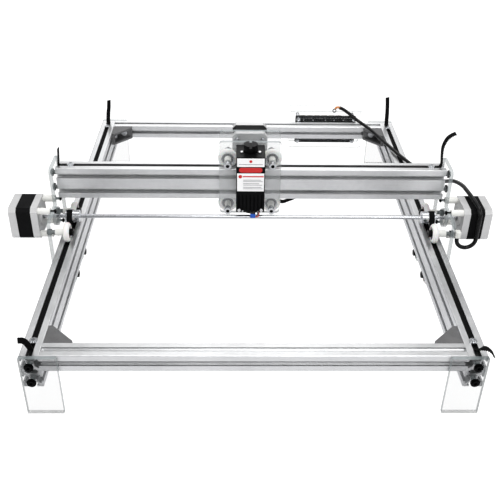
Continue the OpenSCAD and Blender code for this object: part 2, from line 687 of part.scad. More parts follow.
// Carriage plates, cut for the wheel bolts
module carriage_plate(y) difference() {
    translate([0, y + plate_t, (carriage_top + carriage_low) / 2]) rotate([90, 0, 0])
        linear_extrude(plate_t) rounded_2d([carriage_w, carriage_h], 4);
    for (x = x_axle_x, z = x_axle_z) translate([x, y - 1, z]) rotate([-90, 0, 0])
        cylinder(r = bolt_r + hole_play, h = plate_t + 2);
    children();
}
laser_bolt_x = 11;
laser_bolt_z = [laser_low + 12, laser_low + 48];
module carriage_front_plate() color([0.86, 0.92, 0.94, 0.35]) on_carriage()
    carriage_plate(front_plate_y)
        for (x = [-laser_bolt_x, laser_bolt_x], z = laser_bolt_z)
            translate([x, front_plate_y - 1, z]) rotate([-90, 0, 0])
                cylinder(r = small_r + hole_play, h = plate_t + 2);
module carriage_rear_plate() color([0.86, 0.92, 0.94, 0.35]) on_carriage()
    carriage_plate(rear_plate_y) {
        translate([0, rear_plate_y - 1, x_shaft_z]) rotate([-90, 0, 0])
            cylinder(r = motor_hole_r, h = plate_t + 2);
        for (sx = [-1, 1], sz = [-1, 1])
            translate([sx * motor_hole, rear_plate_y - 1, x_shaft_z + sz * motor_hole])
                rotate([-90, 0, 0]) cylinder(r = small_r + hole_play, h = plate_t + 2);
    }

module at_x_axles(y) on_carriage()
    for (x = x_axle_x, z = x_axle_z) translate([x, y, z]) rotate([-90, 0, 0]) children();
x_bolt_l = x_flange_y - front_plate_y;
module x_axle_bolts() color([0.10, 0.10, 0.11]) at_x_axles(front_plate_y) {
    difference() {
        translate([0, 0, -y_head_l]) cylinder(r = y_head_r, h = y_head_l);
        translate([0, 0, -y_head_l - 1]) cylinder(r = head_hex_r, h = head_hex_depth + 1, $fn = 6);
    }
    cylinder(r = bolt_r, h = x_bolt_l + nut_h + 1);
    translate([0, 0, x_bolt_l]) rotate(30) cylinder(r = nut_r, h = nut_h, $fn = 6);
}
x_spacer_l = carriage_gap - bearing_w / 2;
module x_axle_spacers() color([0.93, 0.93, 0.92]) {
    at_x_axles(front_plate_y + plate_t) tube(spacer_r, bolt_r + turn_play, x_spacer_l);
    at_x_axles(beam_y + bearing_w / 2) tube(spacer_r, bolt_r + turn_play, x_spacer_l);
}
module x_wheel_bearings() color([0.75, 0.76, 0.78]) at_x_axles(beam_y - bearing_w / 2)
    tube(bearing_r, bearing_bore_r, bearing_w);
module x_wheel(i, j) color([0.95, 0.95, 0.94]) on_carriage()
    translate([x_axle_x[i], beam_y, x_axle_z[j]]) rotate([90, 0, 0]) wheel();
module upper_left_x_wheel() x_wheel(0, 0);
module upper_right_x_wheel() x_wheel(1, 0);
module lower_left_x_wheel() x_wheel(0, 1);
module lower_right_x_wheel() x_wheel(1, 1);

module at_x_motor() on_carriage() translate([0, x_flange_y, x_shaft_z])
    rotate([-90, 0, 0]) children();
module x_motor_caps() color([0.70, 0.71, 0.72]) at_x_motor() motor_caps();
module x_motor_stator() color([0.08, 0.08, 0.09]) at_x_motor() motor_stator();
x_shaft_l = x_flange_y + cap_front - beam_y + pulley_half;
module x_motor_shaft() color([0.78, 0.79, 0.80]) on_carriage()
    translate([0, beam_y - pulley_half, x_shaft_z]) rotate([-90, 0, 0])
        cylinder(r = shaft_r, h = x_shaft_l - 0.5);
module x_pulley() color([0.80, 0.80, 0.81]) on_carriage()
    translate([0, beam_y, x_shaft_z]) rotate([-90, 0, 0]) pulley();
module x_belt_loop() color([0.07, 0.07, 0.075]) on_carriage()
    translate([0, beam_y - belt_w / 2, x_axle_z[0]]) along_y(belt_w)
        belt_loop_2d(x_wheel_gap, x_motor_z - axle_h);

// Laser module: a finned block with a bore for the barrel, a cover and a cable gland
laser_y_mid = laser_y + laser_side / 2;
block_h = laser_h - top_cover_t;
module laser_heat_sink() color([0.09, 0.09, 0.10]) on_carriage() difference() {
    translate([-laser_side / 2, laser_y, laser_low]) cube([laser_side, laser_side, block_h]);
    for (side = [-1, 1], i = [-3:3]) translate([side * laser_side / 2, laser_y_mid + i * fin_pitch,
        laser_low + block_h / 2]) cube([2 * fin_depth, fin_gap, block_h + 2], center = true);
    for (i = [-3:3]) translate([i * fin_pitch, laser_y, laser_low + (block_h - label_h) / 2 - 2])
        cube([fin_gap, 2 * 3.5, block_h - label_h - 1], center = true);
    translate([0, laser_y_mid, laser_low - 1]) cylinder(r = barrel_r + turn_play, h = barrel_h);
    for (x = [-laser_bolt_x, laser_bolt_x], z = laser_bolt_z)
        translate([x, front_plate_y - 6, z]) rotate([-90, 0, 0])
            cylinder(r = small_r + turn_play, h = 7);
}
module laser_label() color([0.92, 0.92, 0.92]) on_carriage()
    translate([-label_w / 2, laser_y - label_t, laser_top - label_h - 1])
        cube([label_w, label_t, label_h]);
module laser_top_cap() color([0.10, 0.10, 0.11]) on_carriage()
    translate([0, laser_y_mid, laser_top - top_cover_t]) difference() {
        union() {
            linear_extrude(top_cover_t) rounded_2d([laser_side, laser_side], 1);
            cylinder(r = gland_r, h = top_cover_t + gland_h);
        }
        translate([0, 0, top_cover_t + gland_h]) cube([3, 2 * gland_r + 2, 5], center = true);
    }
module laser_barrel() color([0.72, 0.58, 0.32]) on_carriage()
    translate([0, laser_y_mid, laser_low - barrel_out]) difference() {
        cylinder(r = barrel_r, h = barrel_h);
        translate([0, 0, -1]) cylinder(r = 4.25, h = barrel_h - 6);
    }
module focus_ring() color([0.15, 0.15, 0.16]) on_carriage()
    translate([0, laser_y_mid, laser_low - barrel_out - ring_play - ring_h]) {
        difference() {
            cylinder(r = ring_r, h = ring_h);
            translate([0, 0, -1]) cylinder(r = 3, h = ring_h + 2);
            for (i = [0:17]) rotate(i * 20) translate([ring_r + 0.3, 0, -1])
                cylinder(r = 0.7, h = ring_h + 2, $fn = 16);
        }
        translate([0, 0, ring_h - 0.5]) tube(4.2, 3, 10);
    }
module laser_plug() color([0.10, 0.25, 0.75]) on_carriage()
    translate([0.4, laser_y + 2, laser_low - laser_plug_h - eps]) cube([6, 5, laser_plug_h]);

// Screws of the laser module and of the X motor
module carriage_screws() color([0.76, 0.77, 0.79]) on_carriage() {
    for (x = [-laser_bolt_x, laser_bolt_x], z = laser_bolt_z)
        translate([x, front_plate_y + plate_t, z]) rotate([-90, 0, 0])
            screw(plate_t + 5, small_r, small_head_r, small_head_h);
    for (sx = [-1, 1], sz = [-1, 1])
        translate([sx * motor_hole, rear_plate_y, x_shaft_z + sz * motor_hole])
            rotate([90, 0, 0]) screw(plate_t + 5, small_r, small_head_r, small_head_h);
}

left_rail();
right_rail();
front_crossbar();
rear_crossbar();
corner_brackets();
frame_screws();
front_legs();
rear_legs();
left_y_belt();
right_y_belt();
belt_clamp_screws();
controller_back_plate();
controller_cover();
controller_board();
board_components();
usb_port();
power_jack();
reset_button();
board_fasteners();
cross_beam();
left_side_plate();
right_side_plate();
plate_screws();
y_motor_stators();
y_motor_caps();
motor_spacers();
y_axle_bolts();
y_axle_spacers();
y_wheel_bearings();
x_belt();
y_belt_loops();
motor_plug();
gantry_cable();
front_upper_y_wheels();
rear_upper_y_wheels();
front_lower_y_wheels();
rear_lower_y_wheels();
y_drive_shafts();
y_pulleys();
carriage_front_plate();
carriage_rear_plate();
x_axle_bolts();
x_axle_spacers();
x_wheel_bearings();
upper_left_x_wheel();
upper_right_x_wheel();
lower_left_x_wheel();
lower_right_x_wheel();
x_motor_stator();
x_motor_caps();
x_motor_shaft();
x_pulley();
x_belt_loop();
laser_heat_sink();
laser_label();
laser_top_cap();
laser_barrel();
focus_ring();
laser_plug();
carriage_screws();
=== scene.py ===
import math
import bmesh
import bpy
import numpy as np
from mathutils import Matrix, Vector


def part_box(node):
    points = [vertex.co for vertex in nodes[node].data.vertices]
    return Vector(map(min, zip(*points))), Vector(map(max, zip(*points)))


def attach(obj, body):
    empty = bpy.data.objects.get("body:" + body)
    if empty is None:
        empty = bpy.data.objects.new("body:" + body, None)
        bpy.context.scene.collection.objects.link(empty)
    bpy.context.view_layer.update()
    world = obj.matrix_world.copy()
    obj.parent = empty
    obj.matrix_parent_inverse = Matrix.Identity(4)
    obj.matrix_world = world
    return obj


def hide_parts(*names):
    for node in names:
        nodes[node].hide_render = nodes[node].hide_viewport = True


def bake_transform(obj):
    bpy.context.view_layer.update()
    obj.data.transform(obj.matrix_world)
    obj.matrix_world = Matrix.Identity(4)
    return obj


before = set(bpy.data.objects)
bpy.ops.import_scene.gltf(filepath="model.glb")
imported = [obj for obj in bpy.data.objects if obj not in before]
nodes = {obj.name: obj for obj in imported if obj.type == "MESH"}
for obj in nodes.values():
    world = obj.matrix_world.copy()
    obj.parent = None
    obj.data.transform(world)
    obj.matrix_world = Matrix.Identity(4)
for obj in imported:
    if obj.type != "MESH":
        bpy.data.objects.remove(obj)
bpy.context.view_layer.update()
print("frame loaded:", len(nodes), "nodes")

mm = 0.001
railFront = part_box("left_rail")[0].y      # front end of the side rails
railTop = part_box("left_rail")[1].z        # top of the frame

# Sizes in millimetres, from the rails' front end and from the floor up
machine = {
    "railX": 220.0,
    "railLength": 560.0,
    "frameTop": 73.0,
    "gantryY": 235.0,
    "beamY": 257.0,
    "beamTop": 149.2,
    "wheelAxleY": (210.0, 260.0),
    "wheelAxleZ": (83.325, 22.675),
    "motorZ": 91.0,
    "motorEnd": 286.0,                    # bottom of the screw holes in a gantry motor's rear cap
    "motorHole": 15.5,                    # from a motor's axis to its screws, across and up
    "carriageX": -2.3,
    "carriageAxleX": 26.5,
    "carriageAxleZ": (159.525, 98.875),
    "carriageMotorZ": 162.0,
    "carriageMotorEnd": 306.5,
    "laserFront": 206.5,
    "laserTop": 185.2,
    "boardX": 125.0,
    "boardZ": 56.6,
    "boardFront": 569.0,
    "boardBack": 570.62,
    "frameScrewLine": 272.0,              # how far from the middle the black end screws begin
    "plugLine": 110.5,                    # where the laser's plug meets its black header, whose black also paints the shade under the laser
}

cameraView = {
    "place": (-20.0, -561.0, 493.8),      # mm from the rails' front end and top
    "pitch": 33.38,                       # degrees below the horizon
    "yaw": 1.37,
    "roll": 0.95,
    "lens": 54.6,
    "sensor": 36,
    "clip": (0.01, 30),                   # nearest and farthest that it sees, in metres
}


def makeCamera(view):
    pitch, yaw, roll = (math.radians(view[k]) for k in ("pitch", "yaw", "roll"))
    forward = Vector((math.sin(yaw) * math.cos(pitch), math.cos(yaw) * math.cos(pitch), -math.sin(pitch)))
    right = Vector((math.cos(yaw), -math.sin(yaw), 0))
    up = right.cross(forward)
    right, up = right * math.cos(roll) + up * math.sin(roll), up * math.cos(roll) - right * math.sin(roll)
    data = bpy.data.cameras.new("camera")
    data.lens = view["lens"]
    data.sensor_width = view["sensor"]
    data.clip_start, data.clip_end = view["clip"]
    camera = bpy.data.objects.new("camera", data)
    bpy.context.scene.collection.objects.link(camera)
    turn = Matrix((right, up, -forward)).transposed().to_4x4()
    x, y, z = (v * mm for v in view["place"])
    camera.matrix_world = Matrix.Translation((x, railFront + y, railTop + z)) @ turn
    bpy.context.scene.camera = camera


makeCamera(cameraView)


# Millimetres from the rails' front end and the floor, turned into metres in the frame
def placed(points):
    return np.asarray(points, float) * mm + (0, railFront, 0)


def meshPiece(name, points, faces, body, material=None, smooth=True):
    mesh = bpy.data.meshes.new(name)
    faces = faces.tolist() if isinstance(faces, np.ndarray) else faces
    mesh.from_pydata(np.asarray(points, float).tolist(), [], faces)
    mesh.update()
    mesh.polygons.foreach_set("use_smooth", [smooth] * len(mesh.polygons))
    piece = bpy.data.objects.new(name, mesh)
    bpy.context.scene.collection.objects.link(piece)
    if body:
        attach(piece, body)
    if material:
        mesh.materials.append(material)
    return piece


# Quads between the rings of a grid of rings x sides points, closed round each ring
def ringQuads(rings, sides, closed=False):
    i, j = np.meshgrid(np.arange(rings if closed else rings - 1), np.arange(sides), indexing="ij")
    nextRing, nextSide = (i + 1) % rings, (j + 1) % sides
    return np.stack([i * sides + j, i * sides + nextSide, nextRing * sides + nextSide,
                     nextRing * sides + j], -1).reshape(-1, 4)


# A Catmull-Rom curve through the points: each stretch is a cubic whose ends
# lean along the line from the point before to the point after
def smoothPath(points, steps):
    p = np.asarray(points, float)
    p = np.vstack([2 * p[0] - p[1], p, 2 * p[-1] - p[-2]])
    t = (np.arange(steps) / steps)[None, :, None]
    a, b, c, d = (p[k:len(p) - 3 + k, None, :] for k in range(4))
    curve = 0.5 * (2 * b + (c - a) * t + (2 * a - 5 * b + 4 * c - d) * t ** 2
                   + (3 * b - a - 3 * c + d) * t ** 3)
    return np.vstack([curve.reshape(-1, 3), p[-2]])


def unitRows(v):
    return v / np.maximum(np.linalg.norm(v, axis=-1, keepdims=True), 1e-12)


# Directions across a path: the side is square to the path and as near as can be to a given one
def pathFrames(path, side):
    along = unitRows(np.gradient(path, axis=0))
    side = np.broadcast_to(np.asarray(side, float), path.shape)
    side = unitRows(side - (side * along).sum(1, keepdims=True) * along)
    return along, side, np.cross(along, side)


# A round tube: a circle of the given radius carried square to a path, with
# its ends closed by one more point each; no path here runs along the given side
def tubeAlong(path, radius, sides=16, side=(0.31, 0.11, 1)):
    along, u, v = pathFrames(path, side)
    angle = np.arange(sides) * 2 * math.pi / sides
    radius = np.broadcast_to(radius, len(path))[:, None, None]
    rings = path[:, None, :] + radius * (np.cos(angle)[None, :, None] * u[:, None, :]
                                         + np.sin(angle)[None, :, None] * v[:, None, :])
    points = np.vstack([rings.reshape(-1, 3), path[0], path[-1]])
    faces = ringQuads(len(path), sides).tolist()
    last = len(path) * sides
    faces += [[(j + 1) % sides, j, last] for j in range(sides)]
    faces += [[last - sides + j, last - sides + (j + 1) % sides, last + 1] for j in range(sides)]
    return points, faces


# Turned shapes: each (radius, height) of a profile goes once round an axis, and
# the whole is repeated at each place; a ring's profile comes back to its start
def turned(profile, places, axis="Z", sides=32, ring=False):
    profile, places = np.asarray(profile, float), np.asarray(places, float).reshape(-1, 3)
    angle = np.arange(sides) * 2 * math.pi / sides
    radius, height = profile[:, None, 0], np.repeat(profile[:, None, 1], sides, 1)
    shape = np.stack([radius * np.cos(angle), radius * np.sin(angle), height], -1)
    shape = np.roll(shape, {"X": 1, "Y": 2, "Z": 0}[axis], -1).reshape(-1, 3)
    points = (places[:, None, :] + shape[None]).reshape(-1, 3)
    quads = ringQuads(len(profile), sides, ring)
    start = np.arange(len(places)) * len(shape)
    faces = (start[:, None, None] + quads[None]).reshape(-1, 4).tolist()
    if not ring:
        ends = [np.arange(sides)[::-1], np.arange(sides) + len(shape) - sides]
        faces += [(s + end).tolist() for s in start for end in ends]
    return points, faces


# Plain blocks, each from its low corner to its high one
def blocks(corners):
    low, high = np.moveaxis(np.asarray(corners, float).reshape(-1, 2, 3), 1, 0)
    pick = np.array([[0, 0, 0], [1, 0, 0], [1, 1, 0], [0, 1, 0], [0, 0, 1], [1, 0, 1], [1, 1, 1], [0, 1, 1]])
    points = low[:, None] + (high - low)[:, None] * pick[None]
    quads = np.array([[0, 3, 2, 1], [4, 5, 6, 7], [0, 1, 5, 4], [1, 2, 6, 5], [2, 3, 7, 6], [3, 0, 4, 7]])
    faces = np.arange(len(low))[:, None, None] * 8 + quads[None]
    return points.reshape(-1, 3), faces.reshape(-1, 4)


cable = {
    "radius": 2.5,
    "sides": 20,
    "steps": 6,
    # mm from the rails' front end, from the floor up: the route of the cable
    "route": [
        (144, 556, 99), (149, 556, 97), (155, 556, 93), (162, 555, 88), (169, 552, 83),
        (177, 546, 79), (184, 534, 78), (191, 517, 78), (199, 495, 77), (208, 468, 77),
        (217, 441, 77), (227, 412, 78), (237, 382, 80), (246, 352, 85), (254, 322, 95),
        (260, 296, 109), (264, 272, 116), (266, 252, 117.5), (268, 234, 117.5), (269, 221, 116.8),
        (270, 214, 115.9), (270.5, 210.4, 113.4), (271, 208, 109.4), (271, 207, 103), (271, 207, 93),
        (271, 207, 84), (271, 207, 77), (269.4, 207, 71.2), (265.2, 207, 67), (259.4, 207, 65.4),
        (253.6, 207, 67), (249.4, 207, 71.2), (247.8, 207, 77), (247.8, 207, 80),
    ],
    "bendFrom": 6,                        # route points between which the real cable gives way
    "bendTo": 14,
}


def makeCable(settings):
    route = placed(settings["route"])
    path = smoothPath(route, settings["steps"])
    points, faces = tubeAlong(path, settings["radius"] * mm, settings["sides"])
    piece = meshPiece("cable_sleeve", points, faces, None)
    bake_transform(piece)
    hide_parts("gantry_cable")
    return piece


cableSleeve = makeCable(cable)


def newGroup(name, inputs, outputs):
    group = bpy.data.node_groups.new(name, "ShaderNodeTree")
    for label, kind, value in inputs:
        socket = group.interface.new_socket(label, in_out="INPUT", socket_type=kind)
        if value is not None:
            socket.default_value = value
    for label, kind in outputs:
        group.interface.new_socket(label, in_out="OUTPUT", socket_type=kind)
    return group, group.nodes.new("NodeGroupInput"), group.nodes.new("NodeGroupOutput")


def addNode(tree, kind, settings=None, **sockets):
    node = tree.nodes.new(kind)
    for key, value in (settings or {}).items():
        setattr(node, key, value)
    for key, value in sockets.items():
        plug(tree, value, node.inputs[key.replace("_", " ")])
    return node


def plug(tree, value, socket):
    if isinstance(value, bpy.types.NodeSocket):
        tree.links.new(value, socket)
    else:
        socket.default_value = value


def mathNode(tree, operation, first, second=0.0, third=0.0):
    node = addNode(tree, "ShaderNodeMath", {"operation": operation})
    for socket, value in zip(node.inputs, (first, second, third)):
        plug(tree, value, socket)
    return node.outputs[0]


# Two sizes of cloudy noise added together: uneven finish, from 0 to 1
def makeUnevenGroup():
    group, start, end = newGroup("unevenFinish", [
        ("Vector", "NodeSocketVector", None), ("Coarse", "NodeSocketFloat", 20.0),
        ("Fine", "NodeSocketFloat", 300.0), ("Share", "NodeSocketFloat", 0.5)],
        [("Value", "NodeSocketFloat")])
    coarse = addNode(group, "ShaderNodeTexNoise", Vector=start.outputs["Vector"],
                     Scale=start.outputs["Coarse"], Detail=3.0)
    fine = addNode(group, "ShaderNodeTexNoise", Vector=start.outputs["Vector"],
                   Scale=start.outputs["Fine"], Detail=4.0)
    mix = addNode(group, "ShaderNodeMix", {"data_type": "FLOAT"})
    group.links.new(start.outputs["Share"], mix.inputs[0])
    group.links.new(coarse.outputs["Fac"], mix.inputs[2])
    group.links.new(fine.outputs["Fac"], mix.inputs[3])
    group.links.new(mix.outputs[0], end.inputs["Value"])
    return group


# Noise stretched along one direction: the fine lines that drawing, milling or brushing leaves
def makeLinesGroup():
    group, start, end = newGroup("fineLines", [
        ("Vector", "NodeSocketVector", None), ("Stretch", "NodeSocketVector", (1.0, 1.0, 1.0)),
        ("Scale", "NodeSocketFloat", 900.0)], [("Value", "NodeSocketFloat")])
    stretched = addNode(group, "ShaderNodeVectorMath", {"operation": "MULTIPLY"})
    group.links.new(start.outputs["Vector"], stretched.inputs[0])
    group.links.new(start.outputs["Stretch"], stretched.inputs[1])
    noise = addNode(group, "ShaderNodeTexNoise", Vector=stretched.outputs[0],
                    Scale=start.outputs["Scale"], Detail=5.0, Roughness=0.6)
    group.links.new(noise.outputs["Fac"], end.inputs["Value"])
    return group


unevenFinish = makeUnevenGroup()
fineLines = makeLinesGroup()
print("shader groups made")


noiseRange = (0.3, 0.7)                   # the noise keeps mostly within this
dullBlack = {"below": 0.03, "specular": 0.12}   # plastics, paint and rubber


# A material with its Principled shader, ready for a pattern to be linked in
def startMaterial(name, color, metallic=0.0, roughness=0.5, **sockets):
    material = bpy.data.materials.new(name)
    material.use_nodes = True
    tree = material.node_tree
    shader = tree.nodes["Principled BSDF"]
    shader.inputs["Base Color"].default_value = (*color, 1)
    if max(color) < dullBlack["below"]:
        shader.inputs["Specular IOR Level"].default_value = dullBlack["specular"]
    shader.inputs["Metallic"].default_value = metallic
    shader.inputs["Roughness"].default_value = roughness
    for key, value in sockets.items():
        shader.inputs[key.replace("_", " ")].default_value = value
    place = tree.nodes.new("ShaderNodeTexCoord").outputs["Object"]
    return material, tree, shader, place


def groupNode(tree, group, **sockets):
    return addNode(tree, "ShaderNodeGroup", {"node_tree": group}, **sockets).outputs["Value"]


def spread(tree, value, low, high, start=0.0, end=1.0):
    node = addNode(tree, "ShaderNodeMapRange", Value=value)
    for key, v in (("From Min", start), ("From Max", end), ("To Min", low), ("To Max", high)):
        node.inputs[key].default_value = v
    return node.outputs["Result"]


def blendColor(tree, amount, first, second):
    node = addNode(tree, "ShaderNodeMix", {"data_type": "RGBA"})
    plug(tree, amount, node.inputs[0])
    for socket, color in ((node.inputs[6], first), (node.inputs[7], second)):
        plug(tree, color if isinstance(color, bpy.types.NodeSocket) else (*color, 1), socket)
    return node.outputs[2]


def bump(tree, shader, height, strength, distance):
    node = addNode(tree, "ShaderNodeBump", Height=height, Strength=strength, Distance=distance)
    tree.links.new(node.outputs["Normal"], shader.inputs["Normal"])


# Finishes of one kind. Each row: base colour, the colour it wanders to, metallic, least and
# most roughness, scales of the coarse and fine noise, strength and height of the bump
finishes = {
    "castBracket": ((0.13, 0.13, 0.132), (0.2, 0.2, 0.202), 0.6,
                    (0.45, 0.65), (90.0, 900.0), (0.5, 0.00012)),
    "blackScrew": ((0.0032, 0.0032, 0.0032), (0.01, 0.01, 0.01), 0.3,
                   (0.3, 0.46), (300.0, 2400.0), (0.25, 0.00003)),
    "driveBelt": ((0.0024, 0.0024, 0.0028), (0.007, 0.007, 0.0075), 0.0,
                  (0.6, 0.78), (150.0, 1800.0), (0.35, 0.00005)),
    "steelScrew": ((0.52, 0.53, 0.55), (0.68, 0.69, 0.7), 1.0,
                   (0.18, 0.34), (300.0, 2400.0), (0.15, 0.00002)),
    "boardParts": ((0.0056, 0.0056, 0.0064), (0.014, 0.014, 0.015), 0.0,
                   (0.38, 0.55), (200.0, 2500.0), (0.3, 0.00003)),
    "usbShell": ((0.6, 0.61, 0.63), (0.72, 0.73, 0.74), 1.0, (0.16, 0.3), (120.0, 1500.0), (0.1, 0.00002)),
    "jackPlastic": ((0.0032, 0.0032, 0.0036), (0.009, 0.009, 0.0095), 0.0,
                    (0.3, 0.45), (200.0, 1500.0), (0.2, 0.00003)),
    "buttonPlastic": ((0.45, 0.02, 0.02), (0.6, 0.04, 0.03), 0.0,
                      (0.25, 0.4), (300.0, 1500.0), (0.2, 0.00002)),
    "whiteNylon": ((0.74, 0.74, 0.71), (0.84, 0.84, 0.81), 0.0,
                   (0.38, 0.52), (200.0, 1500.0), (0.2, 0.00003)),
    "bearingSteel": ((0.45, 0.46, 0.48), (0.58, 0.59, 0.61), 1.0,
                     (0.12, 0.24), (300.0, 2400.0), (0.1, 0.00002)),
    "bearingSeal": ((0.03, 0.03, 0.032), (0.055, 0.055, 0.058), 0.0,
                    (0.45, 0.6), (300.0, 1800.0), (0.3, 0.00003)),
    "laserCap": ((0.0032, 0.0032, 0.0036), (0.01, 0.01, 0.0105), 0.1,
                 (0.32, 0.48), (200.0, 1800.0), (0.25, 0.00004)),
    "brassBarrel": ((0.58, 0.4, 0.16), (0.7, 0.52, 0.26), 1.0,
                    (0.2, 0.34), (200.0, 1800.0), (0.1, 0.00002)),
    "bluePlug": ((0.01, 0.09, 0.46), (0.02, 0.13, 0.58), 0.0,
                 (0.32, 0.46), (300.0, 1800.0), (0.2, 0.00003)),
    "blackPlug": ((0.0032, 0.0032, 0.0036), (0.01, 0.01, 0.0105), 0.0,
                  (0.36, 0.5), (300.0, 1800.0), (0.2, 0.00003)),
    "labelWhite": ((0.93, 0.93, 0.93), (0.97, 0.97, 0.97), 0.0,
                   (0.28, 0.4), (80.0, 1400.0), (0.1, 0.00001)),
    "labelBlack": ((0.0028, 0.0028, 0.0032), (0.007, 0.007, 0.0075), 0.0,
                   (0.26, 0.38), (80.0, 1400.0), (0.1, 0.00001)),
    "labelRed": ((0.55, 0.02, 0.02), (0.66, 0.03, 0.03), 0.0, (0.28, 0.4), (80.0, 1400.0), (0.1, 0.00001)),
    "labelGrey": ((0.28, 0.28, 0.29), (0.36, 0.36, 0.37), 0.0, (0.28, 0.4), (80.0, 1400.0), (0.1, 0.00001)),
    "redWire": ((0.42, 0.01, 0.01), (0.55, 0.02, 0.02), 0.0, (0.4, 0.55), (200.0, 1500.0), (0.2, 0.00002)),
    "copper": ((0.5, 0.2, 0.08), (0.62, 0.29, 0.13), 0.7, (0.22, 0.38), (300.0, 1800.0), (0.2, 0.00003)),
    "solderTin": ((0.62, 0.62, 0.63), (0.76, 0.76, 0.77), 0.9,
                  (0.22, 0.36), (300.0, 1800.0), (0.1, 0.00002)),
}


def makeFinish(name, row):
    color, other, metallic, rough, (coarse, fine), relief = row
    material, tree, shader, place = startMaterial(name, color, metallic, rough[0])
    uneven = groupNode(tree, unevenFinish, Vector=place, Coarse=coarse, Fine=fine)
    value = spread(tree, uneven, 0, 1, *noiseRange)
    tree.links.new(blendColor(tree, value, color, other), shader.inputs["Base Color"])
    tree.links.new(spread(tree, value, *rough), shader.inputs["Roughness"])
    bump(tree, shader, uneven, *relief)
    return material


twoScrews = {
    "base": (0.02, 0.02, 0.02),
    "zinc": ((0.52, 0.53, 0.55), (0.68, 0.69, 0.70)),
    "black": ((0.004, 0.004, 0.0044), (0.011, 0.011, 0.0115)),
    "rough": (0.24, 0.40),
    "grain": (300.0, 2400.0),
    "bump": (0.2, 0.00002),
}


# Screws of two kinds in one piece: along one axis, the black ones lie on one side
# of a line and the zinc-plated ones on the other
def makeTwoScrews(name, axis, line, blackBeyond, settings):
    material, tree, shader, place = startMaterial(name, settings["base"], 0.8, 0.35)
    coarse, fine = settings["grain"]
    uneven = groupNode(tree, unevenFinish, Vector=place, Coarse=coarse, Fine=fine)
    value = spread(tree, uneven, 0, 1, *noiseRange)
    parts = addNode(tree, "ShaderNodeSeparateXYZ", Vector=place)
    distance = mathNode(tree, "ABSOLUTE", parts.outputs[axis])
    black = mathNode(tree, "GREATER_THAN" if blackBeyond else "LESS_THAN", distance, line)
    zinc = blendColor(tree, value, *settings["zinc"])
    dark = blendColor(tree, value, *settings["black"])
    tree.links.new(blendColor(tree, black, zinc, dark), shader.inputs["Base Color"])
    tree.links.new(spread(tree, value, *settings["rough"]), shader.inputs["Roughness"])
    bump(tree, shader, uneven, *settings["bump"])
    return material


extrusion = {
    "base": (0.66, 0.665, 0.67),
    "cloud": ((0.64, 0.645, 0.65), (0.74, 0.745, 0.75)),
    "line": (0.48, 0.483, 0.487),
    "lineShare": (0, 0.35, 0.45, 0.75),   # least and most of the line's colour, and the noise there
    "lineScale": 2600.0,
    "stains": (14.0, 160.0, 0.3),         # coarse scale, fine scale, share of the fine one
    "stainRange": (0.35, 0.65),
    "rough": (0.24, 0.32),
    "lineRough": 0.18,
    "bump": (0.18, 0.00004),
}


# Anodised extrusion: fine drawn lines along its length, faint cloudy stains
def makeProfile(name, stretch, settings):
    material, tree, shader, place = startMaterial(name, settings["base"], 1.0, 0.36)
    lines = groupNode(tree, fineLines, Vector=place, Stretch=stretch, Scale=settings["lineScale"])
    coarse, fine, share = settings["stains"]
    stains = groupNode(tree, unevenFinish, Vector=place, Coarse=coarse, Fine=fine, Share=share)
    cloud = spread(tree, stains, 0, 1, *settings["stainRange"])
    color = blendColor(tree, cloud, *settings["cloud"])
    drawn = spread(tree, lines, *settings["lineShare"])
    tree.links.new(blendColor(tree, drawn, color, settings["line"]), shader.inputs["Base Color"])
    smooth = spread(tree, cloud, *settings["rough"])
    rough = mathNode(tree, "MULTIPLY_ADD", lines, settings["lineRough"], smooth)
    tree.links.new(rough, shader.inputs["Roughness"])
    bump(tree, shader, lines, *settings["bump"])
    return material


# Thickness axis, colour of the faces, and how solid the face, the slanting face and the cut edge look
clearSheets = {
    "side": ("X", (0.60, 0.62, 0.625), 0.05, 0.03, 0.62),
    "leg": ("Y", (0.13, 0.138, 0.14), 0.14, 0.06, 0.70),
    "carriage": ("Y", (0.74, 0.76, 0.765), 0.15, 0.06, 0.66),
    "cover": ("Y", (0.34, 0.355, 0.36), 0.05, 0.06, 0.60),
}
sheetEdge = (0.26, 0.29, 0.295)


# Clear cast sheet: nearly nothing where one looks straight through a face, more
# of it at a slant, and dull grey on the cut edges and in the holes
def makeAcrylic(name, settings):
    axis, face, faceAlpha, slantAlpha, edgeAlpha = settings
    material, tree, shader, place = startMaterial(name, face, 0.0, 0.04, IOR=1.49, Specular_IOR_Level=0.9)
    geometry = tree.nodes.new("ShaderNodeNewGeometry")
    parts = addNode(tree, "ShaderNodeSeparateXYZ", Vector=geometry.outputs["True Normal"])
    edge = spread(tree, mathNode(tree, "ABSOLUTE", parts.outputs[axis]), 1, 0, 0.55, 0.97)
    haze = groupNode(tree, unevenFinish, Vector=place, Coarse=25.0, Fine=420.0, Share=0.4)
    saw = groupNode(tree, fineLines, Vector=place, Stretch=(1.0, 1.0, 1.0), Scale=1400.0)
    slant = addNode(tree, "ShaderNodeLayerWeight", Blend=0.35).outputs["Facing"]
    slant = mathNode(tree, "POWER", slant, 2.5)
    clear = mathNode(tree, "MULTIPLY_ADD", slant, slantAlpha, faceAlpha)
    cut = spread(tree, saw, edgeAlpha - 0.12, edgeAlpha + 0.12, *noiseRange)
    alpha = addNode(tree, "ShaderNodeMix", {"data_type": "FLOAT"})
    tree.links.new(edge, alpha.inputs[0])
    tree.links.new(clear, alpha.inputs[2])
    tree.links.new(cut, alpha.inputs[3])
    tree.links.new(alpha.outputs[0], shader.inputs["Alpha"])
    tree.links.new(blendColor(tree, edge, face, sheetEdge), shader.inputs["Base Color"])
    smooth = spread(tree, haze, 0.02, 0.08, 0.45, 0.75)
    rough = mathNode(tree, "MULTIPLY_ADD", edge, 0.35, smooth)
    tree.links.new(rough, shader.inputs["Roughness"])
    return material


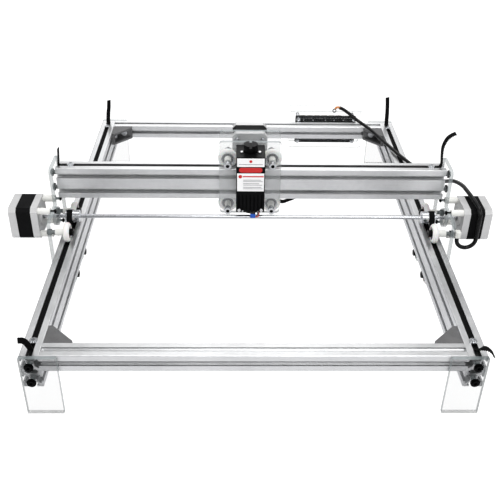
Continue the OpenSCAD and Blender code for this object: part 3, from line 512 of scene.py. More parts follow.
# Black sheet laminations of a motor: stripes across its axis
def makeStator(name, axis):
    material, tree, shader, place = startMaterial(name, (0.012, 0.012, 0.013), 0.0, 0.5)
    wave = addNode(tree, "ShaderNodeTexWave", {"bands_direction": axis, "wave_profile": "SIN"},
                   Vector=place, Scale=320.0, Distortion=0.4, Detail=1.0)
    uneven = groupNode(tree, unevenFinish, Vector=place, Coarse=60.0, Fine=900.0)
    tree.links.new(blendColor(tree, wave.outputs["Fac"], (0.003, 0.003, 0.0035), (0.009, 0.009, 0.0095)),
                   shader.inputs["Base Color"])
    tree.links.new(spread(tree, uneven, 0.50, 0.68, *noiseRange), shader.inputs["Roughness"])
    bump(tree, shader, wave.outputs["Fac"], 0.35, 0.00008)
    return material


# Die-cast cap with lightly brushed faces
def makeCap():
    material, tree, shader, place = startMaterial("motorCap", (0.72, 0.72, 0.72), 0.45, 0.42)
    lines = groupNode(tree, fineLines, Vector=place, Stretch=(1.0, 1.0, 0.15), Scale=1500.0)
    uneven = groupNode(tree, unevenFinish, Vector=place, Coarse=70.0, Fine=900.0)
    value = spread(tree, uneven, 0, 1, *noiseRange)
    tree.links.new(blendColor(tree, value, (0.56, 0.56, 0.56), (0.66, 0.66, 0.66)),
                   shader.inputs["Base Color"])
    tree.links.new(spread(tree, value, 0.36, 0.52), shader.inputs["Roughness"])
    bump(tree, shader, lines, 0.2, 0.00005)
    return material


# Ground or turned metal: very fine lines round or along it
def makeGround(name, color, stretch, roughness=(0.14, 0.26)):
    material, tree, shader, place = startMaterial(name, color, 1.0, roughness[0])
    lines = groupNode(tree, fineLines, Vector=place, Stretch=stretch, Scale=3000.0)
    tree.links.new(spread(tree, lines, *roughness, *noiseRange), shader.inputs["Roughness"])
    tree.links.new(blendColor(tree, spread(tree, lines, 0, 1, 0.35, 0.65), color,
                              tuple(c * 0.85 for c in color)), shader.inputs["Base Color"])
    bump(tree, shader, lines, 0.1, 0.00002)
    return material


# White acetal, slightly translucent, with turning marks across the wheel's axis
def makeAcetal(name, stretch):
    material, tree, shader, place = startMaterial(name, (0.80, 0.80, 0.79), 0.0, 0.35,
                                                  Subsurface_Weight=0.12, Subsurface_Scale=0.002)
    lines = groupNode(tree, fineLines, Vector=place, Stretch=stretch, Scale=1600.0)
    value = spread(tree, lines, 0, 1, *noiseRange)
    tree.links.new(blendColor(tree, value, (0.76, 0.76, 0.745), (0.86, 0.86, 0.845)),
                   shader.inputs["Base Color"])
    tree.links.new(spread(tree, value, 0.28, 0.44), shader.inputs["Roughness"])
    bump(tree, shader, lines, 0.15, 0.00004)
    return material


# Black anodised heat sink
def makeAnodised():
    material, tree, shader, place = startMaterial("laserBlack", (0.012, 0.012, 0.013), 0.2, 0.4)
    lines = groupNode(tree, fineLines, Vector=place, Stretch=(1.0, 1.0, 0.04), Scale=2200.0)
    value = spread(tree, lines, 0, 1, *noiseRange)
    tree.links.new(blendColor(tree, value, (0.003, 0.003, 0.0035), (0.009, 0.009, 0.010)),
                   shader.inputs["Base Color"])
    tree.links.new(spread(tree, value, 0.32, 0.48), shader.inputs["Roughness"])
    bump(tree, shader, lines, 0.2, 0.00004)
    return material


# Black solder mask with faint tracks
def makeBoard():
    material, tree, shader, place = startMaterial("circuitBoard", (0.008, 0.009, 0.010), 0.0, 0.3)
    tracks = addNode(tree, "ShaderNodeTexVoronoi", {"distance": "MANHATTAN"}, Vector=place, Scale=260.0)
    line = spread(tree, tracks.outputs["Distance"], 0, 1, 0.35, 0.45)
    tree.links.new(blendColor(tree, line, (0.0025, 0.003, 0.0035), (0.007, 0.008, 0.009)),
                   shader.inputs["Base Color"])
    tree.links.new(spread(tree, line, 0.28, 0.38), shader.inputs["Roughness"])
    bump(tree, shader, line, 0.2, 0.00003)
    return material


# Cable sleeve: matt rubber with a faint grain
def makeSleeve():
    material, tree, shader, place = startMaterial("cableJacket", (0.003, 0.003, 0.0033), 0.0, 0.3)
    shader.inputs["Specular IOR Level"].default_value = 0.35
    uneven = groupNode(tree, unevenFinish, Vector=place, Coarse=120.0, Fine=1500.0)
    tree.links.new(spread(tree, uneven, 0.24, 0.36, *noiseRange), shader.inputs["Roughness"])
    bump(tree, shader, uneven, 0.3, 0.00005)
    return material


# The blue plug under the laser and the black header that it is pushed on; the header's black also paints the
# shade between the plug and the laser's underside
def makePlug(row, line):
    color, other, metallic, rough, (coarse, fine), relief = row
    material, tree, shader, place = startMaterial("laserPlug", color, metallic, rough[0])
    uneven = groupNode(tree, unevenFinish, Vector=place, Coarse=coarse, Fine=fine)
    value = spread(tree, uneven, 0, 1, *noiseRange)
    parts = addNode(tree, "ShaderNodeSeparateXYZ", Vector=place)
    # Above the line the plug is black: partly its header, partly painted shade under the laser
    headerAndShade = mathNode(tree, "GREATER_THAN", parts.outputs["Z"], line)
    blue = blendColor(tree, value, color, other)
    tree.links.new(blendColor(tree, headerAndShade, blue, (0.010, 0.010, 0.011)), shader.inputs["Base Color"])
    tree.links.new(spread(tree, value, *rough), shader.inputs["Roughness"])
    bump(tree, shader, uneven, *relief)
    return material


finish = {name: makeFinish(name, f) for name, f in finishes.items()}
profileY = makeProfile("profileAlongY", (1.0, 0.01, 1.0), extrusion)
profileX = makeProfile("profileAlongX", (0.01, 1.0, 1.0), extrusion)
acrylic = {name: makeAcrylic(name + "Sheet", values) for name, values in clearSheets.items()}
motorCap = makeCap()
laserBlack = makeAnodised()
circuitBoard = makeBoard()
cableJacket = makeSleeve()
cableSleeve.data.materials.append(cableJacket)

nodeMaterial = {
    "left_rail": profileY, "right_rail": profileY, "front_crossbar": profileX,
    "rear_crossbar": profileX, "cross_beam": profileX,
    "corner_brackets": finish["castBracket"],
    "frame_screws": makeTwoScrews("frameScrews", "Y", machine["frameScrewLine"] * mm, True, twoScrews),
    "plate_screws": makeTwoScrews("gantryScrews", "Z", machine["beamTop"] * mm, False, twoScrews),
    "controller_board": circuitBoard, "board_components": finish["boardParts"],
    "usb_port": finish["usbShell"], "power_jack": finish["jackPlastic"],
    "reset_button": finish["buttonPlastic"],
    "y_motor_stators": makeStator("statorAlongX", "X"), "x_motor_stator": makeStator("statorAlongY", "Y"),
    "y_motor_caps": motorCap, "x_motor_caps": motorCap,
    "y_drive_shafts": makeGround("shaftAlongX", (0.56, 0.57, 0.59), (0.01, 1.0, 1.0)),
    "x_motor_shaft": makeGround("shaftAlongY", (0.56, 0.57, 0.59), (1.0, 0.01, 1.0)),
    "y_pulleys": makeGround("pulleyAlongX", (0.64, 0.65, 0.67), (1.0, 0.05, 0.05), (0.20, 0.34)),
    "x_pulley": makeGround("pulleyAlongY", (0.64, 0.65, 0.67), (0.05, 1.0, 0.05), (0.20, 0.34)),
    "laser_heat_sink": laserBlack, "laser_label": finish["labelBlack"],
    "laser_top_cap": finish["laserCap"], "focus_ring": finish["laserCap"],
    "laser_barrel": finish["brassBarrel"],
    "laser_plug": makePlug(finishes["bluePlug"], machine["plugLine"] * mm),
    "motor_plug": finish["whiteNylon"], "gantry_cable": cableJacket,
    "y_axle_bolts": finish["blackScrew"], "x_axle_bolts": finish["steelScrew"],
    "front_legs": acrylic["leg"], "rear_legs": acrylic["leg"],
    "controller_back_plate": acrylic["cover"], "controller_cover": acrylic["cover"],
    "carriage_front_plate": acrylic["carriage"], "carriage_rear_plate": acrylic["carriage"],
    "left_side_plate": acrylic["side"], "right_side_plate": acrylic["side"],
}
for name in ("left_y_belt", "right_y_belt", "x_belt", "y_belt_loops", "x_belt_loop"):
    nodeMaterial[name] = finish["driveBelt"]
for name in ("belt_clamp_screws", "board_fasteners", "carriage_screws"):
    nodeMaterial[name] = finish["steelScrew"]
for name in ("motor_spacers", "y_axle_spacers", "x_axle_spacers"):
    nodeMaterial[name] = finish["whiteNylon"]
for name in ("y_wheel_bearings", "x_wheel_bearings"):
    nodeMaterial[name] = finish["bearingSteel"]
acetalX = makeAcetal("acetalAboutX", (1.0, 0.08, 0.08))
acetalY = makeAcetal("acetalAboutY", (0.08, 1.0, 0.08))
for name in nodes:
    if name.endswith("_y_wheels"):
        nodeMaterial[name] = acetalX
    if name.endswith("_x_wheel"):
        nodeMaterial[name] = acetalY

for name, material in nodeMaterial.items():
    mesh = nodes[name].data
    mesh.materials.clear()
    mesh.materials.append(material)
print("materials on", len(nodeMaterial), "nodes")


sheets = {
    "gap": 0.04,                          # mm left between a sheet and what it bears on
    "bevel": 0.35,
    # node, its thickness axis, its body
    "plates": [
        ("front_legs", 1, "frame"), ("rear_legs", 1, "frame"),
        ("controller_back_plate", 1, "frame"), ("controller_cover", 1, "frame"),
        ("left_side_plate", 0, "gantry"), ("right_side_plate", 0, "gantry"),
        ("carriage_front_plate", 1, "carriage"), ("carriage_rear_plate", 1, "carriage"),
    ],
}


# A clear sheet with its long edges just broken: a copy of the plate, pulled in
# by the gap on both faces, so that light reaches what stands against it
def makeSheet(name, axis, body, settings):
    source = nodes[name]
    mesh = source.data.copy()
    mesh.name = name + "_sheet"
    points = np.empty(len(mesh.vertices) * 3)
    mesh.vertices.foreach_get("co", points)
    points = points.reshape(-1, 3)
    low, high = points[:, axis].min(), points[:, axis].max()
    middle = (low + high) / 2
    points[:, axis] = middle + (points[:, axis] - middle) * (1 - 2 * settings["gap"] * mm / (high - low))
    mesh.vertices.foreach_set("co", points.ravel())
    shape = bmesh.new()
    shape.from_mesh(mesh)
    bmesh.ops.remove_doubles(shape, verts=shape.verts, dist=1e-6)
    bmesh.ops.dissolve_limit(shape, angle_limit=math.radians(1), verts=shape.verts, edges=shape.edges)
    shape.to_mesh(mesh)
    shape.free()
    piece = bpy.data.objects.new(name + "_sheet", mesh)
    bpy.context.scene.collection.objects.link(piece)
    edges = piece.modifiers.new("brokenEdges", "BEVEL")
    edges.width = settings["bevel"] * mm
    edges.segments = 2
    edges.limit_method = "ANGLE"
    edges.angle_limit = math.radians(60)
    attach(piece, body)
    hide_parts(name)
    return piece


for name, axis, body in sheets["plates"]:
    makeSheet(name, axis, body, sheets)
print("clear sheets:", len(sheets["plates"]))


belts = {
    "width": 6.0,
    "back": 0.65,                         # thickness of the plain back
    "tooth": 0.75,
    "pitch": 2.0,
    "depth": -2.675,                      # middle of the belt under a rail's or the beam's top
    "smooth": 8,
    "straightIn": 15.0,                   # where the straight run begins, from a rail's end
    "lead": 8.0,                          # distance between the two points that set it straight
    # free ends: mm beside the rail's middle, from the front end, over the rail, and the width's direction
    "leftFront": [((-7.5, 0, 19.5), (0.5, 0.8, 0)), ((-3.5, 2, 17.5), (0.7, 0.6, 0)),
                  ((-1, 4.5, 12), (0.9, 0.3, 0)), ((-0.2, 7, 5.5), (1, 0, 0)), ((0, 10, 0), (1, 0, 0))],
    "leftBack": [((0, 551, 0), (1, 0, 0)), ((0, 554, 7), (1, 0, 0)), ((0.5, 556, 15), (0.9, 0.4, 0)),
                 ((2, 556, 25), (0.8, 0.6, 0)), ((3, 556, 36), (0.7, 0.7, 0))],
    "rightFront": [((14, -2.5, 1.5), (0, 1, 0)), ((12, -1.5, 5.5), (0, 1, 0)), ((8, 0, 8.5), (0, 1, 0)),
                   ((4, 2, 8.5), (0.3, 0.9, 0)), ((1, 5, 5), (0.8, 0.5, 0)), ((0, 10, 0), (1, 0, 0))],
    "rightBack": [((0, 551, 0), (1, 0, 0)), ((0, 554, 7), (1, 0, 0)), ((0, 556, 16), (1, 0.2, 0)),
                  ((-1, 556, 30), (0.95, 0.3, 0)), ((-2.5, 556, 44), (0.95, 0.3, 0))],
    # free ends on the beam: mm from the machine's middle and over the beam
    "beamLeft": [(-229.5, 22), (-230.5, 10), (-231.5, 3), (-231, -1)],
    "beamStraight": (-220, 216),          # where its straight run begins and ends
    "beamRight": [(227, -1), (229, 4), (228, 14), (227.5, 26), (230.5, 36), (235, 41), (240.5, 44)],
    "twist": 0.45,                        # how far the right free end turns its flat face forward
    # wheel path and pulley path radii, and how far under the wheels' axles the belt lies
    "wheelPath": 13.0,
    "pulleyPath": 7.1,
    "low": -12.25,
    "arcSteps": 24,
}


# A toothed belt: a flat section carried along the path, whose inner face steps
# out by a tooth and back once in every pitch
def toothedBelt(name, path, side, body, node, settings, mirrored=False):
    path, side = np.asarray(path, float), np.asarray(side, float)
    run = np.concatenate([[0], np.cumsum(np.linalg.norm(np.diff(path, axis=0), axis=1))])
    teeth = int(run[-1] // settings["pitch"])
    steps = np.array([0.0, 0.4, 0.5, 0.9])
    at = ((np.arange(teeth)[:, None] + steps) * run[-1] / teeth).ravel()
    path = np.stack([np.interp(at, run, path[:, k]) for k in range(3)], -1)
    side = np.broadcast_to(side, (len(run), 3))
    side = np.stack([np.interp(at, run, side[:, k]) for k in range(3)], -1)
    across, inward = pathFrames(path, side)[1:]
    deep = np.tile([0.0, 0.0, 1.0, 1.0], teeth)[:, None] * settings["tooth"]
    half = (settings["back"] + settings["tooth"]) / 2
    edge = across * settings["width"] / 2
    outer, inner = -half * inward, (settings["back"] - half + deep) * inward
    rings = np.stack([path - edge + outer, path + edge + outer, path + edge + inner,
                      path - edge + inner], 1)
    faces = ringQuads(len(path), 4).tolist()
    last = 4 * len(path)
    faces += [[3, 2, 1, 0], [last - 4, last - 3, last - 2, last - 1]]
    points, count = rings.reshape(-1, 3), len(rings) * 4
    if mirrored:                          # the same belt on the other side of the machine
        points = np.vstack([points, points * (-1, 1, 1)])
        faces += [[count + k for k in reversed(face)] for face in faces]
    piece = meshPiece(name, placed(points), faces, body, finish["driveBelt"], smooth=False)
    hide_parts(node)
    return piece


def freeEnd(points, settings):
    p = smoothPath([q[0] for q in points], settings["smooth"])
    s = smoothPath([q[1] for q in points], settings["smooth"])
    return p, s


def makeRailBelt(name, x, front, back, settings):
    top, inside = machine["frameTop"], settings["straightIn"]
    lie = machine["frameTop"] + settings["depth"]
    end = machine["railLength"] - inside
    wide = (1, 0, 0)
    first = [((x + q[0], q[1], top + q[2]), w) for q, w in front]
    first += [((x, inside, lie), wide), ((x, inside + settings["lead"], lie), wide)]
    second = [((x, end - settings["lead"], lie), wide), ((x, end, lie), wide)]
    second += [((x + q[0], q[1], top + q[2]), w) for q, w in back]
    a, b = freeEnd(first, settings), freeEnd(second, settings)
    toothedBelt(name + "_toothed", np.vstack([a[0], b[0]]), np.vstack([a[1], b[1]]), "frame", name, settings)


def makeBeamBelt(settings):
    y, top, lie = machine["beamY"], machine["beamTop"], machine["beamTop"] + settings["depth"]
    (begin, end), lead = settings["beamStraight"], settings["lead"]
    left = [(x, y, top + z) for x, z in settings["beamLeft"]] + [(begin - lead, y, lie), (begin, y, lie)]
    right = [(end, y, lie), (end + lead, y, lie)] + [(x, y, top + z) for x, z in settings["beamRight"]]
    left, right = smoothPath(left, settings["smooth"]), smoothPath(right, settings["smooth"])
    twist = np.linspace(0, 1, len(right))[:, None] ** 2 * settings["twist"]
    side = np.vstack([np.tile((0.0, -1.0, 0.0), (len(left), 1)), (0, -1, 0) + twist * (1, 0, 0)])
    toothedBelt("x_belt_toothed", np.vstack([left, right]), side, "gantry", "x_belt", settings)


# The belt's rise between two wheels: three arcs and the straight lines that
# touch them, under the first wheel, over the pulley and under the second wheel
def risingPath(gap, rise, settings):
    wheel, pulley = settings["wheelPath"], settings["pulleyPath"]
    lean = math.atan2(rise, gap / 2)
    turn = math.acos((wheel + pulley) / math.hypot(gap / 2, rise))
    start = math.asin(settings["low"] / wheel)
    arcs = [(-gap / 2, 0, wheel, start, lean - turn),
            (0, rise, pulley, math.pi + lean - turn, turn - lean),
            (gap / 2, 0, wheel, math.pi - lean + turn, math.pi - start)]
    share = np.linspace(0, 1, settings["arcSteps"])
    middle = np.array([arc[:2] for arc in arcs])[:, None, :]
    radius, first, last = np.array([arc[2:] for arc in arcs]).T[:, :, None]
    angle = first + (last - first) * share
    return (middle + np.stack([radius * np.cos(angle), radius * np.sin(angle)], -1)).reshape(-1, 2)


def makeBelts(settings):
    makeRailBelt("left_y_belt", -machine["railX"], settings["leftFront"], settings["leftBack"], settings)
    makeRailBelt("right_y_belt", machine["railX"], settings["rightFront"], settings["rightBack"], settings)
    makeBeamBelt(settings)
    z = machine["wheelAxleZ"][0]
    frontAxle, rearAxle = machine["wheelAxleY"]
    rise = risingPath(rearAxle - frontAxle, machine["motorZ"] - z, settings)
    across, up = machine["gantryY"] + rise[:, 0], z + rise[:, 1]
    path = np.stack([np.full(len(rise), machine["railX"]), across, up], -1)
    toothedBelt("y_belt_rise", path, (1, 0, 0), "gantry", "y_belt_loops", settings, mirrored=True)
    z = machine["carriageAxleZ"][0]
    rise = risingPath(2 * machine["carriageAxleX"], machine["carriageMotorZ"] - z, settings)
    across, up = machine["carriageX"] + rise[:, 0], z + rise[:, 1]
    path = np.stack([across, np.full(len(rise), machine["beamY"]), up], -1)
    toothedBelt("x_belt_rise", path, (0, -1, 0), "carriage", "x_belt_loop", settings)


makeBelts(belts)
print("toothed belts made")


bearings = {
    "sides": 40,
    # radius and height from the bearing's middle, all the way round the section
    "races": [(7.7, -2.5), (8.0, -2.2), (8.0, 2.2), (7.7, 2.5), (6.9, 2.5), (6.7, 2.1), (4.4, 2.1),
              (4.2, 2.5), (2.85, 2.5), (2.55, 2.2), (2.55, -2.2), (2.85, -2.5), (4.2, -2.5),
              (4.4, -2.1), (6.7, -2.1), (6.9, -2.5)],
    "seal": [(6.6, -2.3), (6.6, 2.3), (4.5, 2.3), (4.5, -2.3)],
}


def makeBearings(settings):
    x, y, z = np.meshgrid((-machine["railX"], machine["railX"]), machine["wheelAxleY"], machine["wheelAxleZ"])
    gantryPlaces = np.stack([x, y, z], -1).reshape(-1, 3)
    side = machine["carriageAxleX"]
    x, y, z = np.meshgrid((machine["carriageX"] - side, machine["carriageX"] + side), (machine["beamY"],),
                          machine["carriageAxleZ"])
    carriagePlaces = np.stack([x, y, z], -1).reshape(-1, 3)
    sets = (("y", gantryPlaces, "X", "gantry"), ("x", carriagePlaces, "Y", "carriage"))
    for name, places, axis, body in sets:
        points, faces = turned(settings["races"], places, axis, settings["sides"], ring=True)
        piece = meshPiece(name + "_bearing_races", placed(points), faces, body, finish["bearingSteel"],
                          smooth=False)
        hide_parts(name + "_wheel_bearings")
        points, faces = turned(settings["seal"], places, axis, settings["sides"], ring=True)
        meshPiece(name + "_bearing_seals", placed(points), faces, body, finish["bearingSeal"], smooth=False)


makeBearings(bearings)

smallScrews = {
    "sides": 24,
    "stand": 0.8,                         # from the face to the middle of a head's height
    "motorHead": [(1.9, -0.8), (2.4, -0.5), (2.4, 0.5), (1.9, 0.8)],
    "laserHead": [(1.5, -0.9), (1.9, -0.6), (1.9, 0.6), (1.4, 0.9)],
    "topPlaces": [(-10.2, 219.0), (10.2, 219.0)],
    "frontPlaces": [(-13.0, 117.4), (13.0, 117.4)],
}


def makeSmallScrews(settings):
    hole, stand, middle = machine["motorHole"], settings["stand"], machine["carriageX"]
    end, rear = machine["motorEnd"] + stand, machine["carriageMotorEnd"] + stand
    corners = [(a * hole, b * hole) for a in (-1, 1) for b in (-1, 1)]
    steel, tin = finish["steelScrew"], finish["solderTin"]
    sets = [
        ("y_motor_rear_screws", "motorHead", "X", "gantry", steel,
         [(x, machine["gantryY"] + a, machine["motorZ"] + b) for x in (-end, end) for a, b in corners]),
        ("x_motor_rear_screws", "motorHead", "Y", "carriage", steel,
         [(middle + a, rear, machine["carriageMotorZ"] + b) for a, b in corners]),
        ("laser_top_screws", "laserHead", "Z", "carriage", tin,
         [(middle + x, y, machine["laserTop"] + stand) for x, y in settings["topPlaces"]]),
        ("laser_front_screws", "laserHead", "Y", "carriage", tin,
         [(middle + x, machine["laserFront"] - stand, z) for x, z in settings["frontPlaces"]]),
    ]
    for name, head, axis, body, metal, places in sets:
        points, faces = turned(settings[head], places, axis, settings["sides"])
        meshPiece(name, placed(points), faces, body, metal, smooth=False)


makeSmallScrews(smallScrews)

# Painted shade: dark hexagons in the carriage bolts' sockets stand for the shade inside them
sockets = {
    "radius": 2.25,
    "below": 0.35,                        # how far the painted-shade hexagons lie under the head's face
    "depth": 2.4,
    "sides": 6,
}


# Painted shade: dark hexagons set in the carriage bolts' sockets, standing for the shade down inside them
def makeSocketShade(settings):
    low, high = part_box("x_axle_bolts")
    face = (low.y - railFront) / mm + settings["below"]
    side, middle = machine["carriageAxleX"], machine["carriageX"]
    places = [(middle + a * side, face, z) for a in (-1, 1) for z in machine["carriageAxleZ"]]
    hexagon = [(settings["radius"], 0), (settings["radius"], settings["depth"])]
    points, faces = turned(hexagon, places, "Y", settings["sides"])
    meshPiece("x_bolt_socket_shade", placed(points), faces, "carriage", finish["jackPlastic"], smooth=False)


makeSocketShade(sockets)

# Plain panels and bars that stand for print: x from the laser's middle, z from the floor
label = {
    "film": 0.4,                          # thickness of the black film under them
    "lift": 0.08,
    "white": [(-15.5, 15.5, 173.6, 184.2), (-15.5, 15.5, 142.3, 165.4)],
    "red": [(-9.0, 15.0, 160.6, 162.0)],
    "grey": [(-13.5, 13.5, 176.2, 177.0), (-8.5, 12.0, 156.4, 157.2), (-8.5, 14.0, 154.6, 155.3),
             (-8.5, 10.0, 151.8, 152.6), (-8.5, 13.5, 150.0, 150.7), (-8.5, 12.5, 147.2, 148.0),
             (-8.5, 14.0, 145.3, 146.0)],
    "dots": [(0.0, 180.4, 1.7), (-11.8, 161.2, 2.1)],
    "bar": (10.2, 169.5, 3.1),            # half length between the round ends, height, radius
    "sides": 28,
}


# An upright disc or a bar with round ends: an outline round two centres, given thickness
def stadium(halfLength, z, radius, x, front, back, sides):
    angle = np.arange(sides) * 2 * math.pi / sides + math.pi / sides
    across = x + radius * np.cos(angle) + np.sign(np.cos(angle)) * halfLength
    up = z + radius * np.sin(angle)
    points = np.vstack([np.stack([across, np.full(sides, y), up], -1) for y in (back, front)])
    faces = ringQuads(2, sides).tolist() + [list(range(sides))[::-1], list(range(sides, 2 * sides))]
    return points, faces


def makeLabel(settings):
    middle, y = machine["carriageX"], machine["laserFront"] - settings["film"]
    for name, layer in (("white", 1), ("red", 2), ("grey", 2)):
        corners = [((middle + a, y - layer * settings["lift"], c), (middle + b, y, d))
                   for a, b, c, d in settings[name]]
        points, faces = blocks(corners)
        meshPiece("label_%s_panels" % name, placed(points), faces, "carriage",
                  finish["label" + name.capitalize()], smooth=False)
    shapes = [stadium(settings["bar"][0], settings["bar"][1], settings["bar"][2], middle,
                      y - settings["lift"], y, settings["sides"])]
    shapes += [stadium(0.0, z, r, middle + x, y - 2 * settings["lift"], y, settings["sides"])
               for x, z, r in settings["dots"]]
    points = np.vstack([shape[0] for shape in shapes])
    count = 2 * settings["sides"]
    faces = [[i * count + k for k in face] for i, shape in enumerate(shapes) for face in shape[1]]
    meshPiece("label_red_marks", placed(points), faces, "carriage", finish["labelRed"], smooth=False)


makeLabel(label)

wires = {
    "radius": 0.65,
    "sides": 10,
    "steps": 8,
    # mm from the laser's middle, from the front end, from the floor
    "routes": {
        "redWire": [(6.2, 209.6, 106.4), (7.6, 209.5, 106.0), (9.4, 210.0, 106.4), (10.6, 212.0, 108.4),
                    (10.6, 214.6, 111.6), (10.4, 216.0, 115.5)],
        "whiteNylon": [(6.2, 211.0, 106.8), (7.4, 211.2, 105.6), (8.8, 212.0, 105.8), (9.6, 213.8, 107.8),
                       (9.4, 216.4, 111.6), (9.2, 217.8, 115.5)],
        "blackPlug": [(6.2, 212.4, 107.2), (7.2, 212.8, 105.0), (8.4, 214.2, 105.0), (9.0, 216.4, 107.4),
                      (8.6, 218.4, 111.6), (8.2, 219.6, 115.5)],
    },
}


def makeWires(settings):
    for name, route in settings["routes"].items():
        route = np.array(route) + (machine["carriageX"], 0, 0)
        path = smoothPath(route, settings["steps"])
        points, faces = tubeAlong(path, settings["radius"], settings["sides"])
        meshPiece("laser_wire_" + name.lower(), placed(points), faces, "carriage", finish[name])


makeWires(wires)

motorLead = {
    "sides": 12,
    "steps": 8,
    # mm, and the radius there: the X motor's lead, hanging behind the beam
    "route": [((10, 297, 140.4), 1.5), ((13, 297, 128), 1.5), ((18, 296, 112), 1.5), ((25, 293, 97), 1.6),
              ((32, 289, 86.5), 2.0), ((40, 286, 83.4), 2.5), ((47.5, 284.5, 86.4), 2.1),
              ((56, 283, 90.4), 1.5), ((64, 283, 94.2), 1.2)],
    "plug": ((63.0, 280.0, 93.4), (70.0, 286.0, 98.4)),
}


def makeMotorLead(settings):
    route = smoothPath([q[0] for q in settings["route"]], settings["steps"])
    given = [q[1] for q in settings["route"]]
    radius = np.interp(np.linspace(0, len(given) - 1, len(route)), np.arange(len(given)), given)
    points, faces = tubeAlong(route, radius, settings["sides"])
    meshPiece("x_motor_lead", placed(points), faces, "carriage", finish["jackPlastic"])
    points, faces = blocks([settings["plug"]])
    meshPiece("x_motor_lead_plug", placed(points), faces, "carriage", finish["blackPlug"], smooth=False)


makeMotorLead(motorLead)

cableEnd = {
    "core": [(144.5, 556, 98.9), (142.0, 556, 99.8), (139.6, 556, 99.6),
             (138.2, 556, 98.6), (137.2, 556, 97.0)],
    "coreRadius": 1.7,
    "coreSteps": 5,
    "coreSides": 12,
    "eyeMiddle": (136.2, 556, 94.2),
    "eye": [(3.2, -0.6), (3.2, 0.6), (1.8, 0.6), (1.8, -0.6)],
    "eyeSides": 28,
}


def makeCableEnd(settings):
    path = smoothPath(settings["core"], settings["coreSteps"])
    points, faces = tubeAlong(path, settings["coreRadius"], settings["coreSides"])
    meshPiece("cable_bare_end", placed(points), faces, "frame", finish["copper"])
    points, faces = turned(settings["eye"], settings["eyeMiddle"], "Y", settings["eyeSides"], ring=True)
    meshPiece("cable_eyelet", placed(points), faces, "frame", finish["castBracket"], smooth=False)


makeCableEnd(cableEnd)

boardDetail = {
    "pitch": 2.54,
    "joints": 33,
    "rows": (75.6, 68.4, 55.0, 39.0),     # heights of the rows of solder joints
    "joint": [(0.2, -0.5), (0.45, -0.3), (0.6, 0.0)],
    "jointSides": 8,
    "proud": 0.02,                        # how far the joints and the print stand off the board
    "marks": [(-36, -34.5), (-21, -19), (-1, 0.5), (13, 14.5), (28, 29.5)],
    "markZ": (71.8, 72.8),
    "markDepth": 0.06,
    "sinkX": (-24.0, -2.0),
    "sinkZ": -6.0,
    "sinkHalf": 4.5,
    "sinkBase": (10.0, 10.7),             # behind the board
    "fins": 5,
    "finWidth": 0.9,
    "finInset": 0.2,                      # keeps a fin's ends off the edges of its base
    "finReach": (10.6, 12.1),
    "pins": 18,
    "pinsTogether": 3,
    "pinStart": -39.0,
    "pinStep": 11.5,
    "pinWidth": 0.6,
    "pinReach": (8.5, 11.4),
    "pinZ": (18.2, 18.8),
}


def makeHeatSinks(settings, back):
    x0, z0 = machine["boardX"], machine["boardZ"] + settings["sinkZ"]
    half, width, count = settings["sinkHalf"], settings["finWidth"], settings["fins"]
    (low, high), (root, tip) = settings["sinkBase"], settings["finReach"]
    finHalf = half - settings["finInset"]
    corners = []
    for x in settings["sinkX"]:
        left = x0 + x - half
        corners.append(((left, back + low, z0 - half), (left + 2 * half, back + high, z0 + half)))
        starts = left + np.arange(count) * (2 * half - width) / (count - 1)
        corners += [((x, back + root, z0 - finHalf), (x + width, back + tip, z0 + finHalf)) for x in starts]
    points, faces = blocks(corners)
    meshPiece("driver_heat_sinks", placed(points), faces, "frame", finish["steelScrew"], smooth=False)


def makeHeaderPins(settings, back):
    x0, z0 = machine["boardX"] + settings["pinStart"], machine["boardZ"]
    (near, far), (low, high) = settings["pinReach"], settings["pinZ"]
    group, place = np.divmod(np.arange(settings["pins"]), settings["pinsTogether"])
    starts = x0 + group * settings["pinStep"] + place * settings["pitch"]
    corners = [((x, back + near, z0 + low), (x + settings["pinWidth"], back + far, z0 + high))
               for x in starts]
    points, faces = blocks(corners)
    meshPiece("header_pins", placed(points), faces, "frame", finish["brassBarrel"], smooth=False)


def makeBoardDetail(settings):
    x0, front = machine["boardX"], machine["boardFront"] - settings["proud"]
    across = x0 + (np.arange(settings["joints"]) - (settings["joints"] - 1) / 2) * settings["pitch"]
    x, z = np.meshgrid(across, settings["rows"])
    places = np.stack([x, np.full(x.shape, front), z], -1).reshape(-1, 3)
    points, faces = turned(settings["joint"], places, "Y", settings["jointSides"])
    meshPiece("solder_joints", placed(points), faces, "frame", finish["solderTin"], smooth=False)
    low, high = settings["markZ"]
    corners = [((x0 + a, front - settings["markDepth"], low), (x0 + b, front, high))
               for a, b in settings["marks"]]
    points, faces = blocks(corners)
    meshPiece("board_print", placed(points), faces, "frame", finish["labelWhite"], smooth=False)
    makeHeatSinks(settings, machine["boardBack"])
    makeHeaderPins(settings, machine["boardBack"])


makeBoardDetail(boardDetail)
print("small parts made")


studio = {
    "floor": (0.80, 0.80, 0.81),
    "floorHalf": 6.0,
    "floorRough": (0.55, 0.68),
    "floorGrain": (3.0, 40.0),
    "backdrop": (1.08, 1.08, 1.08, 1.0),
    "surroundings": (0.34, 0.34, 0.343, 1.0),   # what the metal reflects away from the lamps
    "floorGlow": 0.96,
    # name, place, aimed at, size, power
    "lamps": [
        ("overhead", (0.1, 0.3, 1.9), (0, 0, 0), 1.5, 19),
        ("leftBox", (-1.9, -0.8, 1.1), (0, 0, 0.1), 1.1, 12),
        ("rightBox", (2.0, -0.5, 1.2), (0, 0, 0.1), 1.0, 9.5),
        ("frontBox", (0.3, -2.2, 1.6), (0, 0, 0.1), 1.2, 17),
        ("backBox", (0.0, 2.3, 1.2), (0, 0, 0.1), 1.5, 8.5),
    ],
}


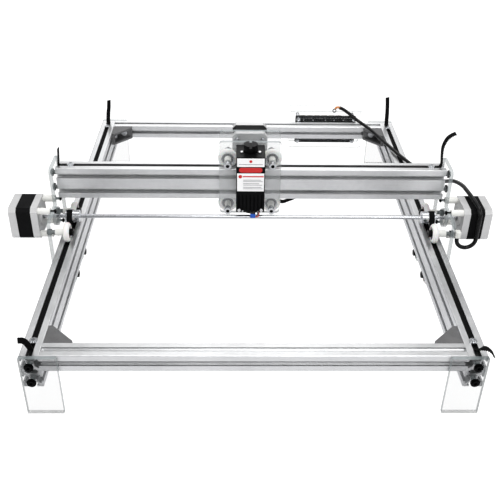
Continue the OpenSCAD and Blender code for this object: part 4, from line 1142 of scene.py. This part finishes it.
# Light to the camera, plain surroundings to everything else, so that metal keeps its greys
def makeWorld(settings):
    world = bpy.data.worlds.new("studio")
    bpy.context.scene.world = world
    world.use_nodes = True
    tree = world.node_tree
    seen = tree.nodes["Background"]
    seen.inputs["Color"].default_value = settings["backdrop"]
    around = addNode(tree, "ShaderNodeBackground", Color=settings["surroundings"])
    path = tree.nodes.new("ShaderNodeLightPath")
    mix = tree.nodes.new("ShaderNodeMixShader")
    tree.links.new(path.outputs["Is Camera Ray"], mix.inputs[0])
    tree.links.new(around.outputs[0], mix.inputs[1])
    tree.links.new(seen.outputs[0], mix.inputs[2])
    tree.links.new(mix.outputs[0], tree.nodes["World Output"].inputs["Surface"])


def makeFloor(settings):
    mesh = bpy.data.meshes.new("floor")
    size = settings["floorHalf"]
    mesh.from_pydata([(-size, -size, 0), (size, -size, 0), (size, size, 0), (-size, size, 0)], [],
                     [(0, 1, 2, 3)])
    floor = bpy.data.objects.new("floor", mesh)
    bpy.context.scene.collection.objects.link(floor)
    material, tree, shader, place = startMaterial("floorPaint", settings["floor"], 0.0, 0.6)
    coarse, fine = settings["floorGrain"]
    uneven = groupNode(tree, unevenFinish, Vector=place, Coarse=coarse, Fine=fine)
    tree.links.new(spread(tree, uneven, *settings["floorRough"], *noiseRange), shader.inputs["Roughness"])
    glow = addNode(tree, "ShaderNodeEmission", Color=settings["backdrop"])
    path = tree.nodes.new("ShaderNodeLightPath")
    share = mathNode(tree, "MULTIPLY", path.outputs["Is Camera Ray"], settings["floorGlow"])
    mix = tree.nodes.new("ShaderNodeMixShader")
    tree.links.new(share, mix.inputs[0])
    tree.links.new(shader.outputs[0], mix.inputs[1])
    tree.links.new(glow.outputs[0], mix.inputs[2])
    tree.links.new(mix.outputs[0], tree.nodes["Material Output"].inputs["Surface"])
    mesh.materials.append(material)


def makeLamps(settings):
    for name, spot, aim, width, power in settings["lamps"]:
        data = bpy.data.lights.new(name, "AREA")
        data.size = width
        data.energy = power
        lamp = bpy.data.objects.new(name, data)
        bpy.context.scene.collection.objects.link(lamp)
        lamp.location = spot
        lamp.rotation_euler = (Vector(aim) - Vector(spot)).to_track_quat("-Z", "Y").to_euler()


makeWorld(studio)
makeFloor(studio)
makeLamps(studio)
bpy.context.scene.view_settings.view_transform = "Standard"
bpy.context.scene.view_settings.look = "Medium High Contrast"
print("studio ready")
